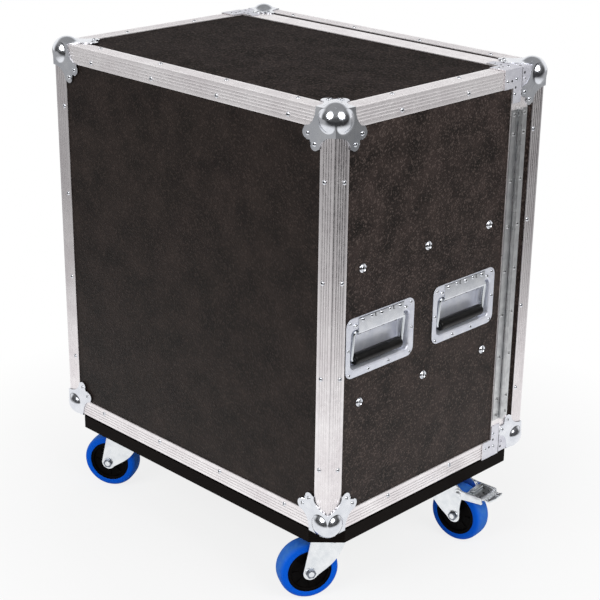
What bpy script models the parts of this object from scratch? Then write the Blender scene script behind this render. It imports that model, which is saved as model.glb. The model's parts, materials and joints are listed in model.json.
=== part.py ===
"""Accessory flight case with a side-hinged front door, standing on a castor board.

Metres, +Z up. The origin is on the floor, under the middle of the whole outline. The door
is the front and faces -Y, its hinge is on the left (-X) and its latches on the right (+X).
"""
import math

import bmesh
import bpy
from mathutils import Matrix, Vector

MM = 0.001
GAP = 0.3 * MM
OVERLAP = 1 * MM
REACH_OUT = 5 * MM

# Case: outer faces of the aluminium edges
CASE_WIDTH = 655 * MM
CASE_HEIGHT = 678 * MM
BODY_DEPTH = 426 * MM
DOOR_DEPTH = 63 * MM

# Plywood and aluminium sections
PLY = 9 * MM
EDGE_WALL = 1.5 * MM
EDGE_FLANGE = 30 * MM
DOOR_EDGE_FLANGE = 28 * MM
EDGE_ROUND = 1.6 * MM
RIB_PITCH = 5 * MM
RIB_FIRST = 7 * MM
RIB_COUNT = 4
RIB_WIDTH = 2 * MM
RIB_DEPTH = 0.45 * MM

# Lid location: a tongue on the body's rim enters a groove in the door's rim
RIM_FLANGE = 21 * MM
TONGUE_START = 5.1 * MM
TONGUE_WALL = 1.3 * MM
TONGUE_REACH = 5.2 * MM
GROOVE_OUTER_PLAY = 0.4 * MM
GROOVE_SWING_PLAY = 1.6 * MM
GROOVE_END_PLAY = 1.3 * MM
DOOR_NOSE_WALL = 2 * MM

# Corner braces beside the door joint
BRACE_WALL = 1.5 * MM
BRACE_LENGTH = 44 * MM
BRACE_LEG = 55 * MM

# Ball corners
BALL_RADIUS = 18.3 * MM
BALL_INSET = 8 * MM
CORNER_WALL = 1.5 * MM
ARCH_START = 36 * MM
ARCH_RISE = 24 * MM
LOBE_FAR = 55.5 * MM
LOBE_RADIUS = 8.5 * MM
LOBE_EDGE_CLEAR = 1 * MM
BALL_SEGMENTS = 16

# Castor board and castors
BOARD_PLY = 24 * MM
BOARD_BALL_CLEAR = 2 * MM
CASTOR_LEFT_INSET = 62 * MM
CASTOR_RIGHT_INSET = 85 * MM
CASTOR_BACK_INSET = 71 * MM
CASTOR_FRONT_INSET = 130 * MM
WHEEL_RADIUS = 50 * MM
WHEEL_WIDTH = 35 * MM
WHEEL_HEAD_CLEAR = 10.5 * MM
TYRE_DEPTH = 13 * MM
TYRE_SHOULDER = 6 * MM
TREAD_HALF = 10 * MM
HUB_PROUD = 2.2 * MM
HUB_RADIUS = 13 * MM
WHEEL_SEGMENTS = 20
CASTOR_OFFSET = 38 * MM
AXLE_RADIUS = 6 * MM
FORK_SHEET = 3 * MM
PLATE_LENGTH = 105 * MM
PLATE_WIDTH = 85 * MM
PLATE_SHEET = 3 * MM
HEAD_DROP = 12.5 * MM
HEAD_RADIUS = 33 * MM
KINGPIN_RADIUS = 7 * MM
PEDAL_PIVOT_OUT = 47 * MM
PEDAL_PIVOT_DROP = 30 * MM
PEDAL_REACH = 112 * MM
PEDAL_SHEET = 2.2 * MM
PEDAL_EAR = 8 * MM
PEDAL_BOSS = 9 * MM
PEDAL_ARM_SHORT = 18 * MM
PEDAL_TREAD = 46 * MM
PEDAL_DIP = 20 * MM
RIVET_RADIUS = 3 * MM
PLATE_CORNER = 8 * MM
RACE_RADIUS = 30 * MM
RACE_FOOT = 26 * MM
RACE_SKIRT = 3 * MM
KINGPIN_FLARE = 5 * MM
KINGPIN_HEAD = 4 * MM
FORK_NOSE = 24 * MM
FORK_SHOULDER = 8 * MM
AXLE_BOSS = 12.5 * MM
BOLT_OUT = 5 * MM
BOLT_HEAD_RADIUS = 8.5 * MM
BOLT_HEAD_HALF = 2.6 * MM
HUB_FLARE = 2 * MM
WEB_INSET = 5 * MM
RIM_LIP = 3 * MM

# Recessed handles
HANDLE_WIDTH = 155 * MM
HANDLE_HEIGHT = 98 * MM
HANDLE_CORNER = 14 * MM
HANDLE_SHEET = 1.2 * MM
HANDLE_TUB_WIDTH = 132 * MM
HANDLE_TUB_BOTTOM = 13 * MM
HANDLE_TUB_TOP = 20 * MM
HANDLE_TUB_DEEP = 20 * MM
HANDLE_TUB_TAPER = 4 * MM
HANDLE_LEVEL = 305 * MM
HANDLE_EDGE_CLEAR = 2.5 * MM
HANDLE_SPACE = 46 * MM
BAIL_ROD = 3 * MM
BAIL_LEG_RADIUS = 3.6 * MM
BAIL_ROD_COVER = 0.9 * MM
BAIL_AXIS_DROP = 5.5 * MM
BAIL_LEG_CLEAR = 9 * MM
BAIL_TILT_DEG = 5.0
GRIP_RADIUS = 9 * MM
GRIP_CLEAR = 3.5 * MM

# Piano hinge
HINGE_END_CLEAR = 2 * MM
HINGE_LEAF = 20 * MM
HINGE_SHEET = 1.2 * MM
KNUCKLE_RADIUS = 3.9 * MM
HINGE_PIN_RADIUS = 2.2 * MM
KNUCKLE_COUNT = 13
KNUCKLE_SEGMENTS = 8

# Latches on the right side
LOWER_LATCH_RISE = 150 * MM
UPPER_LATCH_DROP = 158 * MM
LATCH_FLANGE_HEIGHT = 100 * MM
LATCH_TUB_DEEP = 9.6 * MM
LATCH_RIM = 9 * MM
WING_RADIUS = 23 * MM
WING_WAIST = 7 * MM
WING_CLAW_CLEAR = 8 * MM
WING_REAR_CLEAR = 4 * MM
KEEPER_FLANGE_DEPTH = 26 * MM
KEEPER_FLANGE_HEIGHT = 56 * MM
CLAW_WIDTH = 16 * MM
CLAW_PIVOT_BACK = 8 * MM
CLAW_PIVOT_DEPTH = 5 * MM
CLAW_REACH = 22 * MM
CLAW_RELEASE_DEG = 20.0
CLAW_EYE = 2.7 * MM
CLAW_PIN = 1.6 * MM
CLAW_STRAP = 1.2 * MM
CLAW_HOOK = 2.6 * MM
CLAW_HOOK_DEEP = 3 * MM
MOUTH_CLEAR = 4 * MM
EAR_SHEET = 2 * MM
EAR_HALF = 3 * MM
EAR_RISE = 2.6 * MM
WING_TOP = 1.2 * MM
WING_SHEET = 2.2 * MM
WING_BLADE_DEG = 64
SPINDLE_RADIUS = 6.5 * MM
SPINDLE_FLARE = 1 * MM
KEEPER_RIM = 7 * MM
STRIKE_CLEAR = 1.2 * MM
STRIKE_WIDTH = 3 * MM

# Shelves, screwed through the side panels
SHELF_PLY = 15 * MM
SHELF_BELOW_HANDLES = 46 * MM
SHELF_ABOVE_HANDLES = 75 * MM
SHELF_SETBACK = 25 * MM

# Derived places
SKIN = EDGE_WALL + GAP
INNER = SKIN + PLY
HALF_W = CASE_WIDTH / 2
CASE_DEPTH = BODY_DEPTH + DOOR_DEPTH
BACK_Y = CASE_DEPTH / 2
FRONT_Y = -CASE_DEPTH / 2
SPLIT_Y = FRONT_Y + DOOR_DEPTH
BOARD_DROP = GAP + CORNER_WALL + GAP
CASTOR_HEIGHT = 2 * WHEEL_RADIUS + WHEEL_HEAD_CLEAR + FORK_SHEET + HEAD_DROP
HUB_HALF = WHEEL_WIDTH / 2 + HUB_PROUD
CASE_Z = CASTOR_HEIGHT + BOARD_PLY + BOARD_DROP
TOP_Z = CASE_Z + CASE_HEIGHT
RIM_INNER = INNER + GAP + EDGE_WALL
GROOVE_START = TONGUE_START - GROOVE_OUTER_PLAY
GROOVE_END = TONGUE_START + TONGUE_WALL + GROOVE_SWING_PLAY
GROOVE_DEEP = TONGUE_REACH + GROOVE_END_PLAY
DOOR_NOSE = GROOVE_DEEP + DOOR_NOSE_WALL
LOBE_NEAR = EDGE_FLANGE + LOBE_EDGE_CLEAR + LOBE_RADIUS
BALL_FOOT = math.sqrt(BALL_RADIUS ** 2 - (BALL_INSET + BOARD_DROP) ** 2)
BOARD_CHAMFER = 2 * BALL_INSET + math.sqrt(2) * (BALL_FOOT + BOARD_BALL_CLEAR)
TUB_HEIGHT = HANDLE_HEIGHT - HANDLE_TUB_BOTTOM - HANDLE_TUB_TOP
TUB_MIDDLE = (HANDLE_TUB_BOTTOM - HANDLE_TUB_TOP) / 2
BAIL_AXIS_DEPTH = BAIL_ROD + BAIL_ROD_COVER
BAIL_LEG_SPREAD = HANDLE_TUB_WIDTH / 2 - BAIL_LEG_CLEAR
BAIL_LEG_LENGTH = TUB_HEIGHT - BAIL_AXIS_DROP - GRIP_RADIUS - GRIP_CLEAR
HANDLE_BACK = EDGE_FLANGE + HANDLE_EDGE_CLEAR + HANDLE_WIDTH / 2
HANDLE_PITCH = HANDLE_WIDTH + HANDLE_SPACE
HINGE_LENGTH = CASE_HEIGHT - 2 * (LOBE_FAR + LOBE_RADIUS + HINGE_END_CLEAR)
WING_BACK = CLAW_PIVOT_BACK + WING_CLAW_CLEAR + WING_RADIUS
LATCH_FLANGE_DEPTH = WING_BACK + WING_RADIUS + WING_REAR_CLEAR + LATCH_RIM
LATCH_LEVELS = (LOWER_LATCH_RISE, CASE_HEIGHT - UPPER_LATCH_DROP)
SHELF_LEVELS = (HANDLE_LEVEL - HANDLE_HEIGHT / 2 - SHELF_BELOW_HANDLES,
                HANDLE_LEVEL + HANDLE_HEIGHT / 2 + SHELF_ABOVE_HANDLES)

COLOURS = {
    "ply": ("3A322E", 0.62, 0.0),
    "board": ("1A1919", 0.7, 0.0),
    "shelf": ("B48A5A", 0.6, 0.0),
    "aluminium": ("D6D3D2", 0.38, 1.0),
    "zinc": ("C3C8CE", 0.3, 1.0),
    "chrome": ("D5D9DE", 0.12, 1.0),
    "wheel": ("1057D8", 0.5, 0.0),
}


def material(name, kind):
    """A Principled material in one of the case's finishes."""
    colour, roughness, metallic = COLOURS[kind]
    channels = [int(colour[i:i + 2], 16) / 255 for i in (0, 2, 4)]
    linear = [c / 12.92 if c <= 0.04045 else ((c + 0.055) / 1.055) ** 2.4 for c in channels]
    result = bpy.data.materials.new(name)
    result.use_nodes = True
    shader = result.node_tree.nodes["Principled BSDF"]
    shader.inputs["Base Color"].default_value = (*linear, 1)
    shader.inputs["Roughness"].default_value = roughness
    shader.inputs["Metallic"].default_value = metallic
    return result


def new_object(name, bm, kind, smooth=None, parent=None, place=None):
    """Turn a bmesh into a named object with its faces out and its own material."""
    bmesh.ops.recalc_face_normals(bm, faces=bm.faces)
    mesh = bpy.data.meshes.new(name)
    bm.to_mesh(mesh)
    bm.free()
    mesh.materials.append(material(name, kind))
    if smooth is not None:
        mesh.shade_smooth()
        mesh.set_sharp_from_angle(angle=math.radians(smooth))
    obj = bpy.data.objects.new(name, mesh)
    bpy.context.scene.collection.objects.link(obj)
    obj.parent = parent
    if place is not None:
        obj.matrix_local = place
    return obj


def new_cutter(name, bm, parent=None, place=None):
    """A hidden solid that only shapes another object."""
    obj = new_object(name, bm, "zinc", parent=parent, place=place)
    obj.hide_render = True
    obj.display_type = "WIRE"
    return obj


def boolean(obj, other, operation):
    """Add an exact Boolean to obj: DIFFERENCE cuts other away, UNION joins it on."""
    modifier = obj.modifiers.new(other.name, "BOOLEAN")
    modifier.operation = operation
    modifier.solver = "EXACT"
    modifier.object = other


def evaluated_copy(obj):
    """The object's mesh with its modifiers applied, as a new mesh."""
    graph = bpy.context.evaluated_depsgraph_get()
    return bpy.data.meshes.new_from_object(obj.evaluated_get(graph))


def loft(loops, closed=False):
    """Bridge loops of equal length, and cap the two ends unless the chain is closed."""
    bm = bmesh.new()
    rings = [[bm.verts.new(point) for point in loop] for loop in loops]
    count = len(rings[0])
    pairs = list(zip(rings, rings[1:]))
    if closed:
        pairs.append((rings[-1], rings[0]))
    for first, second in pairs:
        for i in range(count):
            j = (i + 1) % count
            bm.faces.new((first[i], first[j], second[j], second[i]))
    if not closed:
        bm.faces.new(list(reversed(rings[0])))
        bm.faces.new(rings[-1])
    return bm


def prism(outline, low, high, turn=None):
    """Extrude a 2-D outline between two heights, then turn it by a matrix."""
    bm = loft([[Vector((x, y, z)) for x, y in outline] for z in (low, high)])
    if turn is not None:
        bm.transform(turn)
    return bm


def box(low, high):
    """A box between two corners."""
    outline = [(low[0], low[1]), (high[0], low[1]), (high[0], high[1]), (low[0], high[1])]
    return prism(outline, low[2], high[2])


def merge(*parts):
    """Put several bmeshes into the first one."""
    base = parts[0]
    for part in parts[1:]:
        mesh = bpy.data.meshes.new("merged")
        part.to_mesh(mesh)
        part.free()
        base.from_mesh(mesh)
        bpy.data.meshes.remove(mesh)
    return base


def turned(profile, segments):
    """Revolve a closed (radius, height) profile about Z; radius 0 points become poles."""
    bm = bmesh.new()
    columns = []
    for radius, height in profile:
        if radius == 0:
            columns.append([bm.verts.new((0, 0, height))])
            continue
        ring = []
        for k in range(segments):
            angle = 2 * math.pi * k / segments
            ring.append(bm.verts.new((radius * math.cos(angle), radius * math.sin(angle), height)))
        columns.append(ring)
    for first, second in zip(columns, columns[1:] + columns[:1]):
        if len(first) == 1 and len(second) == 1:
            continue
        for k in range(segments):
            m = (k + 1) % segments
            corners = [first[k % len(first)], first[m % len(first)],
                       second[m % len(second)], second[k % len(second)]]
            bm.faces.new(list(dict.fromkeys(corners)))
    return bm


def arc(centre, radius, start_deg, end_deg, count):
    """Points on an arc, both ends included."""
    angles = [math.radians(start_deg + (end_deg - start_deg) * i / (count - 1)) for i in range(count)]
    return [(centre[0] + radius * math.cos(a), centre[1] + radius * math.sin(a)) for a in angles]


def rounded_rectangle(width, height, radius, centre=(0, 0), steps=3):
    """The outline of a rectangle with round corners."""
    points = []
    for sx, sy, start in ((1, 1, 0), (-1, 1, 90), (-1, -1, 180), (1, -1, 270)):
        middle = (centre[0] + sx * (width / 2 - radius), centre[1] + sy * (height / 2 - radius))
        points += arc(middle, radius, start, start + 90, steps)
    return points


def ring_frame(profile):
    """Carry a section round the case's front-view outline, mitred at the four corners.

    Each profile point is (depth in from the outer face, y)."""
    loops = []
    for side, low in ((-1, True), (1, True), (1, False), (-1, False)):
        loop = []
        for depth, y in profile:
            z = CASE_Z + depth if low else TOP_Z - depth
            loop.append(Vector((side * (HALF_W - depth), y, z)))
        loops.append(loop)
    return loft(loops, closed=True)


def ribbed_flange(length):
    """Outer surface of a ribbed flange: (distance from the corner, depth) points."""
    points = [(EDGE_ROUND, 0)]
    for i in range(RIB_COUNT):
        middle = RIB_FIRST + i * RIB_PITCH
        if middle + RIB_WIDTH > length:
            break
        points += [(middle - RIB_WIDTH / 2, 0), (middle, RIB_DEPTH), (middle + RIB_WIDTH / 2, 0)]
    return points + [(length, 0)]


def angle_section(first_flange, second_flange):
    """Section of a ribbed angle: x along the first flange, y along the second."""
    first = ribbed_flange(first_flange)
    second = [(depth, along) for along, depth in ribbed_flange(second_flange)]
    inner = [(EDGE_WALL, second_flange), (EDGE_WALL, EDGE_WALL), (first_flange, EDGE_WALL)]
    return list(reversed(first)) + second + inner


def right_side(depth, back, height):
    """World point on the right side: depth in from its face, back of the door joint."""
    return Vector((HALF_W - depth, SPLIT_Y + back, CASE_Z + height))


def right_box(depths, backs, heights):
    """A box on the right side, by ranges of depth, distance behind the joint and height."""
    first = right_side(depths[1], backs[0], heights[0])
    second = right_side(depths[0], backs[1], heights[1])
    return box(first, second)


def panels():
    """Plywood walls of the body, and the cuts that the handles and latches sit in."""
    side_low = CASE_Z + INNER + GAP
    side_high = TOP_Z - INNER - GAP
    rim_y = SPLIT_Y + EDGE_WALL + GAP
    back_y = BACK_Y - INNER
    wide = HALF_W - SKIN
    new_object("back_panel", box((-wide, back_y, CASE_Z + SKIN), (wide, BACK_Y - SKIN, TOP_Z - SKIN)), "ply")
    new_object("top_panel", box((-wide, rim_y, TOP_Z - INNER), (wide, back_y - GAP, TOP_Z - SKIN)), "ply")
    new_object("base_panel", box((-wide, rim_y, CASE_Z + SKIN), (wide, back_y - GAP, CASE_Z + INNER)), "ply")
    sides = {}
    for name, side in (("left_panel", -1), ("right_panel", 1)):
        near, far = sorted((side * (HALF_W - SKIN), side * (HALF_W - INNER)))
        sides[side] = new_object(name, box((near, rim_y, side_low), (far, back_y - GAP, side_high)), "ply")
    return sides


def edges():
    """Ribbed aluminium angles along the case's edges."""
    back = [(depth, BACK_Y - y) for y, depth in angle_section(EDGE_FLANGE, EDGE_FLANGE)]
    new_object("back_edge_frame", ring_frame(back), "aluminium")
    door = [(depth, FRONT_Y + y) for y, depth in angle_section(DOOR_EDGE_FLANGE, EDGE_FLANGE)]
    new_object("door_edge_frame", ring_frame(door), "aluminium")
    section = angle_section(EDGE_FLANGE, EDGE_FLANGE)
    near = SPLIT_Y + RIM_FLANGE + GAP
    far = BACK_Y - EDGE_FLANGE - GAP
    for high, level in ((True, "top"), (False, "bottom")):
        for side, name in ((-1, "left"), (1, "right")):
            loops = []
            for y in (near, far):
                loops.append([Vector((side * (HALF_W - a), y, TOP_Z - b if high else CASE_Z + b))
                              for a, b in section])
            new_object(f"{level}_{name}_edge", loft(loops), "aluminium")


def brace_legs(leg, low_y, high_y, outer, inner):
    """Angle sections at the four corners of the case's front view, between two y values."""
    outline = [(-outer, -outer), (leg, -outer), (leg, inner), (inner, inner), (inner, leg), (-outer, leg)]
    parts = []
    for side in (-1, 1):
        for high in (False, True):
            loops = []
            for y in (low_y, high_y):
                loops.append([Vector((side * (HALF_W - a), y, TOP_Z - b if high else CASE_Z + b))
                              for a, b in outline])
            parts.append(loft(loops))
    return merge(*parts)


def rims():
    """Lid-location frames round the joint, with the body's corner braces on its rim."""
    tongue_end = TONGUE_START + TONGUE_WALL
    body = [(0, 0), (TONGUE_START, 0), (TONGUE_START, -TONGUE_REACH), (tongue_end, -TONGUE_REACH),
            (tongue_end, 0), (RIM_INNER, 0), (RIM_INNER, RIM_FLANGE), (INNER + GAP, RIM_FLANGE),
            (INNER + GAP, EDGE_WALL), (EDGE_WALL, EDGE_WALL), (EDGE_WALL, RIM_FLANGE), (0, RIM_FLANGE)]
    body_rim = new_object("body_rim", ring_frame([(a, SPLIT_Y + b) for a, b in body]), "aluminium")
    outer = GAP + BRACE_WALL
    pad = brace_legs(BRACE_LEG, SPLIT_Y + GAP, SPLIT_Y + RIM_FLANGE, outer, EDGE_WALL / 2)
    arm = brace_legs(EDGE_FLANGE, SPLIT_Y + RIM_FLANGE / 2, SPLIT_Y + BRACE_LENGTH, outer, -GAP)
    boolean(body_rim, new_cutter("brace_pads", pad), "UNION")
    boolean(body_rim, new_cutter("brace_arms", arm), "UNION")
    door = [(0, 0), (0, RIM_FLANGE), (EDGE_WALL, RIM_FLANGE), (EDGE_WALL, DOOR_NOSE),
            (INNER + GAP, DOOR_NOSE), (INNER + GAP, RIM_FLANGE), (RIM_INNER, RIM_FLANGE), (RIM_INNER, 0),
            (GROOVE_END, 0), (GROOVE_END, GROOVE_DEEP), (GROOVE_START, GROOVE_DEEP), (GROOVE_START, 0)]
    door_rim = new_object("door_rim", ring_frame([(a, SPLIT_Y - GAP - b) for a, b in door]), "aluminium")
    return body_rim, door_rim


def door_shell():
    """Plywood front of the door and its four walls."""
    wide = HALF_W - SKIN
    new_object("door_panel", box((-wide, FRONT_Y + SKIN, CASE_Z + SKIN),
                                 (wide, FRONT_Y + INNER, TOP_Z - SKIN)), "ply")
    front = FRONT_Y + INNER + GAP
    rear = SPLIT_Y - GAP - DOOR_NOSE - GAP
    section = [(SKIN, front), (INNER, front), (INNER, rear), (SKIN, rear)]
    return new_object("door_wall", ring_frame(section), "ply")


def corner_outline(tab=0.0):
    """Outline of one plate of a ball corner, in distances along the two edges from the corner.

    Two scalloped lobes carry the rivets, and an arch clears each edge. A tab, when the
    corner has one, runs along the first edge and braces the door's rim."""
    wall = CORNER_WALL + GAP
    arch = []
    for i in range(5):
        angle = math.radians(90 * i / 4)
        along = ARCH_START + ARCH_RISE * (1 - math.cos(angle))
        arch.append((along, EDGE_FLANGE * math.sin(angle)))
    far_lobe = arc((LOBE_FAR, LOBE_NEAR), LOBE_RADIUS, -45, 75, 5)
    near_lobe = arc((LOBE_NEAR, LOBE_FAR), LOBE_RADIUS, 15, 135, 5)
    start = [(-wall, -wall), (ARCH_START, -wall)] + arch
    if tab:
        start = [(-wall, -wall), (tab, -wall)]
        far_lobe = [(tab, LOBE_NEAR)] + [(min(a, tab), b) for a, b in far_lobe[2:]]
    mirrored = [(b, a) for a, b in reversed(arch)]
    return start + far_lobe + near_lobe + mirrored + [(-wall, ARCH_START)]


def ball_corner_mesh(name, tab):
    """A ball corner for the case corner at the origin, with the case towards +X, +Y, +Z.

    A tab runs along Y on two of the plates, over the flange of the door's rim."""
    wall = CORNER_WALL + GAP
    deep = 4 * MM
    turns = (Matrix.Identity(4),
             Matrix(((0, 0, 1, 0), (1, 0, 0, 0), (0, 1, 0, 0), (0, 0, 0, 1))),
             Matrix(((0, 1, 0, 0), (0, 0, 1, 0), (1, 0, 0, 0), (0, 0, 0, 1))))
    plates = []
    braced = [(b, a) for a, b in corner_outline(tab)], corner_outline(tab), corner_outline()
    for turn, outline in zip(turns, braced):
        plates.append(prism(outline, -wall, deep, turn))
    blank = new_object(name, plates[0], "zinc")
    extras = [new_cutter(f"{name}_plate", plate) for plate in plates[1:]]
    diagonal = Vector((1, 1, 1)).to_track_quat("Z", "X").to_matrix().to_4x4()
    ball = bmesh.new()
    bmesh.ops.create_uvsphere(ball, u_segments=BALL_SEGMENTS, v_segments=BALL_SEGMENTS // 2, radius=BALL_RADIUS)
    place = Matrix.Translation((BALL_INSET, BALL_INSET, BALL_INSET)) @ diagonal
    extras.append(new_cutter(f"{name}_ball", ball, place=place))
    for extra in extras:
        boolean(blank, extra, "UNION")
    far = 120 * MM
    inner = SKIN - GAP
    bar = EDGE_FLANGE + GAP
    cuts = [box((inner, inner, inner), (far, far, far)),
            box((-GAP, -GAP, -GAP), (far, bar, bar)),
            box((-GAP, -GAP, -GAP), (bar, far, bar)),
            box((-GAP, -GAP, -GAP), (bar, bar, far))]
    if tab:
        flange = DOOR_DEPTH - GAP - RIM_FLANGE - GAP
        cuts.append(box((-GAP, flange, -GAP), (far, far, far)))
    cutters = [new_cutter(f"{name}_cut", cut) for cut in cuts]
    for cutter in cutters:
        boolean(blank, cutter, "DIFFERENCE")
    mesh = evaluated_copy(blank)
    for obj in [blank] + extras + cutters:
        bpy.data.objects.remove(obj)
    return mesh


def ball_corners():
    """Eight ball corners: plain ones at the back, ones with bracing tabs on the door."""
    plain = ball_corner_mesh("corner_blank", 0)
    braced = ball_corner_mesh("braced_blank", DOOR_DEPTH - 2 * GAP)
    for door in (False, True):
        for side, side_name in ((-1, "left"), (1, "right")):
            for high, level in ((True, "top"), (False, "bottom")):
                group = "door" if door else "back"
                name = f"{group}_{level}_{side_name}_ball_corner"
                source = braced if door else plain
                corner = Vector((side * HALF_W, FRONT_Y if door else BACK_Y, TOP_Z if high else CASE_Z))
                turn = Matrix.Diagonal((-side, 1 if door else -1, -1 if high else 1, 1))
                mesh = source.copy()
                mesh.transform(Matrix.Translation(corner) @ turn)
                bm = bmesh.new()
                bm.from_mesh(mesh)
                bpy.data.meshes.remove(mesh)
                new_object(name, bm, "zinc", smooth=35)


def castor_board():
    """Plywood board under the case, with its corners cut off clear of the ball corners."""
    cut = BOARD_CHAMFER
    x, y = HALF_W, CASE_DEPTH / 2
    outline = [(x - cut, -y), (x, -y + cut), (x, y - cut), (x - cut, y),
               (-x + cut, y), (-x, y - cut), (-x, -y + cut), (-x + cut, -y)]
    new_object("castor_board", prism(outline, CASTOR_HEIGHT, CASTOR_HEIGHT + BOARD_PLY), "board")


def castor_plate_mesh():
    """Top plate, raceway and kingpin of a castor, in one piece about the swivel axis."""
    top = -GAP
    low = top - PLATE_SHEET
    head_low = -HEAD_DROP - FORK_SHEET
    nut_low = head_low - KINGPIN_HEAD
    plate = prism(rounded_rectangle(PLATE_LENGTH, PLATE_WIDTH, PLATE_CORNER), low, top)
    race = turned([(0, low + OVERLAP), (RACE_RADIUS, low + OVERLAP), (RACE_RADIUS, low - RACE_SKIRT),
                   (RACE_FOOT, -HEAD_DROP + GAP), (KINGPIN_RADIUS, -HEAD_DROP + GAP),
                   (KINGPIN_RADIUS, head_low - GAP), (KINGPIN_RADIUS + KINGPIN_FLARE, head_low - GAP),
                   (KINGPIN_RADIUS + KINGPIN_HEAD, nut_low), (0, nut_low)], 14)
    return plate, race


def fork_leg_outline(braked):
    """Side view of a fork leg: wide at the head, tapered to the round axle boss.

    A braked fork also has an ear behind for the pedal's rivet."""
    axle = (CASTOR_OFFSET, -(CASTOR_HEIGHT - WHEEL_RADIUS))
    top = -HEAD_DROP - OVERLAP / 2
    boss = arc(axle, AXLE_BOSS, 215, 375, 8)
    back = [(CASTOR_OFFSET, top)]
    if braked:
        ear = arc((PEDAL_PIVOT_OUT, -PEDAL_PIVOT_DROP), PEDAL_EAR, -30, 60, 4)
        back = ear + back
    return [(-FORK_NOSE, top), (-FORK_NOSE - 2 * OVERLAP, top - FORK_SHOULDER)] + boss + back


UPRIGHT = Matrix.Rotation(math.radians(90), 4, "X")


def side_plate(outline, start, end):
    """Stand an (x, z) outline upright, between two distances to one side (along -Y)."""
    return prism(outline, start, end, UPRIGHT)


def cross_bar(radius, half_length, centre, segments=10):
    """A round bar lying along Y."""
    bar = turned([(0, -half_length), (radius, -half_length), (radius, half_length), (0, half_length)], segments)
    bar.transform(Matrix.Translation(Vector(centre)) @ UPRIGHT)
    return bar


def castor(name, swivel, heading_deg, braked):
    """One swivel castor below the board, trailing towards its heading."""
    frame = bpy.data.objects.new(f"{name}_frame", None)
    bpy.context.scene.collection.objects.link(frame)
    frame.matrix_local = Matrix.Translation((swivel[0], swivel[1], CASTOR_HEIGHT))
    turn = Matrix.Rotation(math.radians(heading_deg), 4, "Z")
    plate, race = castor_plate_mesh()
    plate_object = new_object(f"{name}_plate", plate, "zinc", smooth=35, parent=frame)
    boolean(plate_object, new_cutter(f"{name}_race", race, parent=frame), "UNION")

    axle = Vector((CASTOR_OFFSET, 0, -(CASTOR_HEIGHT - WHEEL_RADIUS)))
    leg_inner = HUB_HALF + GAP
    head = turned([(KINGPIN_RADIUS + GAP, -HEAD_DROP), (HEAD_RADIUS, -HEAD_DROP),
                   (HEAD_RADIUS + OVERLAP, -HEAD_DROP - FORK_SHEET),
                   (KINGPIN_RADIUS + GAP, -HEAD_DROP - FORK_SHEET)], 20)
    fork = new_object(f"{name}_fork", head, "zinc", smooth=35, parent=frame, place=turn)
    outline = fork_leg_outline(braked)
    legs = merge(side_plate(outline, leg_inner, leg_inner + FORK_SHEET),
                 side_plate(outline, -leg_inner - FORK_SHEET, -leg_inner))
    boolean(fork, new_cutter(f"{name}_legs", legs, parent=frame, place=turn), "UNION")
    outer = leg_inner + FORK_SHEET
    bolt = cross_bar(AXLE_RADIUS, outer + BOLT_OUT, axle)
    boolean(fork, new_cutter(f"{name}_axle", bolt, parent=frame, place=turn), "UNION")
    head_out = outer + 2 * OVERLAP
    heads = merge(*[cross_bar(BOLT_HEAD_RADIUS, BOLT_HEAD_HALF, axle + Vector((0, side * head_out, 0)), 6)
                    for side in (-1, 1)])
    boolean(fork, new_cutter(f"{name}_bolt_heads", heads, parent=frame, place=turn), "UNION")

    half = WHEEL_WIDTH / 2
    bore = AXLE_RADIUS + GAP
    rim = WHEEL_RADIUS - TYRE_DEPTH
    section = [(bore, -HUB_HALF), (HUB_RADIUS, -HUB_HALF),
               (HUB_RADIUS + HUB_FLARE, -half + WEB_INSET), (rim - RIM_LIP, -half + WEB_INSET), (rim, -half),
               (WHEEL_RADIUS - TYRE_SHOULDER, -half), (WHEEL_RADIUS, -TREAD_HALF)]
    section += [(radius, -height) for radius, height in reversed(section)]
    wheel = turned(section, WHEEL_SEGMENTS)
    wheel.transform(UPRIGHT)
    wheel_place = turn @ Matrix.Translation(axle)
    new_object(f"{name}_wheel", wheel, "wheel", smooth=35, parent=frame, place=wheel_place)
    if braked:
        brake_pedal(name, frame, turn, fork, outer)


def brake_pedal(name, frame, turn, fork, leg_outer):
    """Total-lock pedal: two arms riveted outside the fork legs, a bridge and a lip."""
    pivot = Vector((PEDAL_PIVOT_OUT, 0, -PEDAL_PIVOT_DROP))
    arm_inner = leg_outer + GAP
    arm_outer = arm_inner + PEDAL_SHEET
    rivets = merge(*[cross_bar(RIVET_RADIUS, (arm_outer - leg_outer) / 2 + OVERLAP,
                               pivot + Vector((0, side * (leg_outer + arm_outer) / 2, 0)), 10)
                     for side in (-1, 1)])
    boolean(fork, new_cutter(f"{name}_rivets", rivets, parent=frame, place=turn), "UNION")
    place = turn @ Matrix.Translation(pivot)
    end = PEDAL_REACH - PEDAL_PIVOT_OUT
    arm_end = end - PEDAL_ARM_SHORT
    arm = arc((0, 0), PEDAL_BOSS, 60, 285, 6) + [(arm_end, -5 * MM), (arm_end + 2 * OVERLAP, 3 * MM)]
    arms = [side_plate(arm, side * arm_inner, side * arm_outer) for side in (-1, 1)]
    pedal = new_object(f"{name}_pedal", arms[0], "zinc", smooth=35, parent=frame, place=place)
    boolean(pedal, new_cutter(f"{name}_pedal_arm", arms[1], parent=frame, place=place), "UNION")
    curve = [(end - PEDAL_TREAD, 5 * MM), (end - PEDAL_DIP, 1.6 * MM), (end, 6 * MM)]
    lip = curve + [(x, z - 1.1 * PEDAL_SHEET) for x, z in reversed(curve)]
    tread = side_plate(lip, -arm_outer, arm_outer)
    boolean(pedal, new_cutter(f"{name}_pedal_tread", tread, parent=frame, place=place), "UNION")
    holes = cross_bar(RIVET_RADIUS + GAP, arm_outer + REACH_OUT, (0, 0, 0), 10)
    boolean(pedal, new_cutter(f"{name}_pedal_holes", holes, parent=frame, place=place), "DIFFERENCE")


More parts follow.
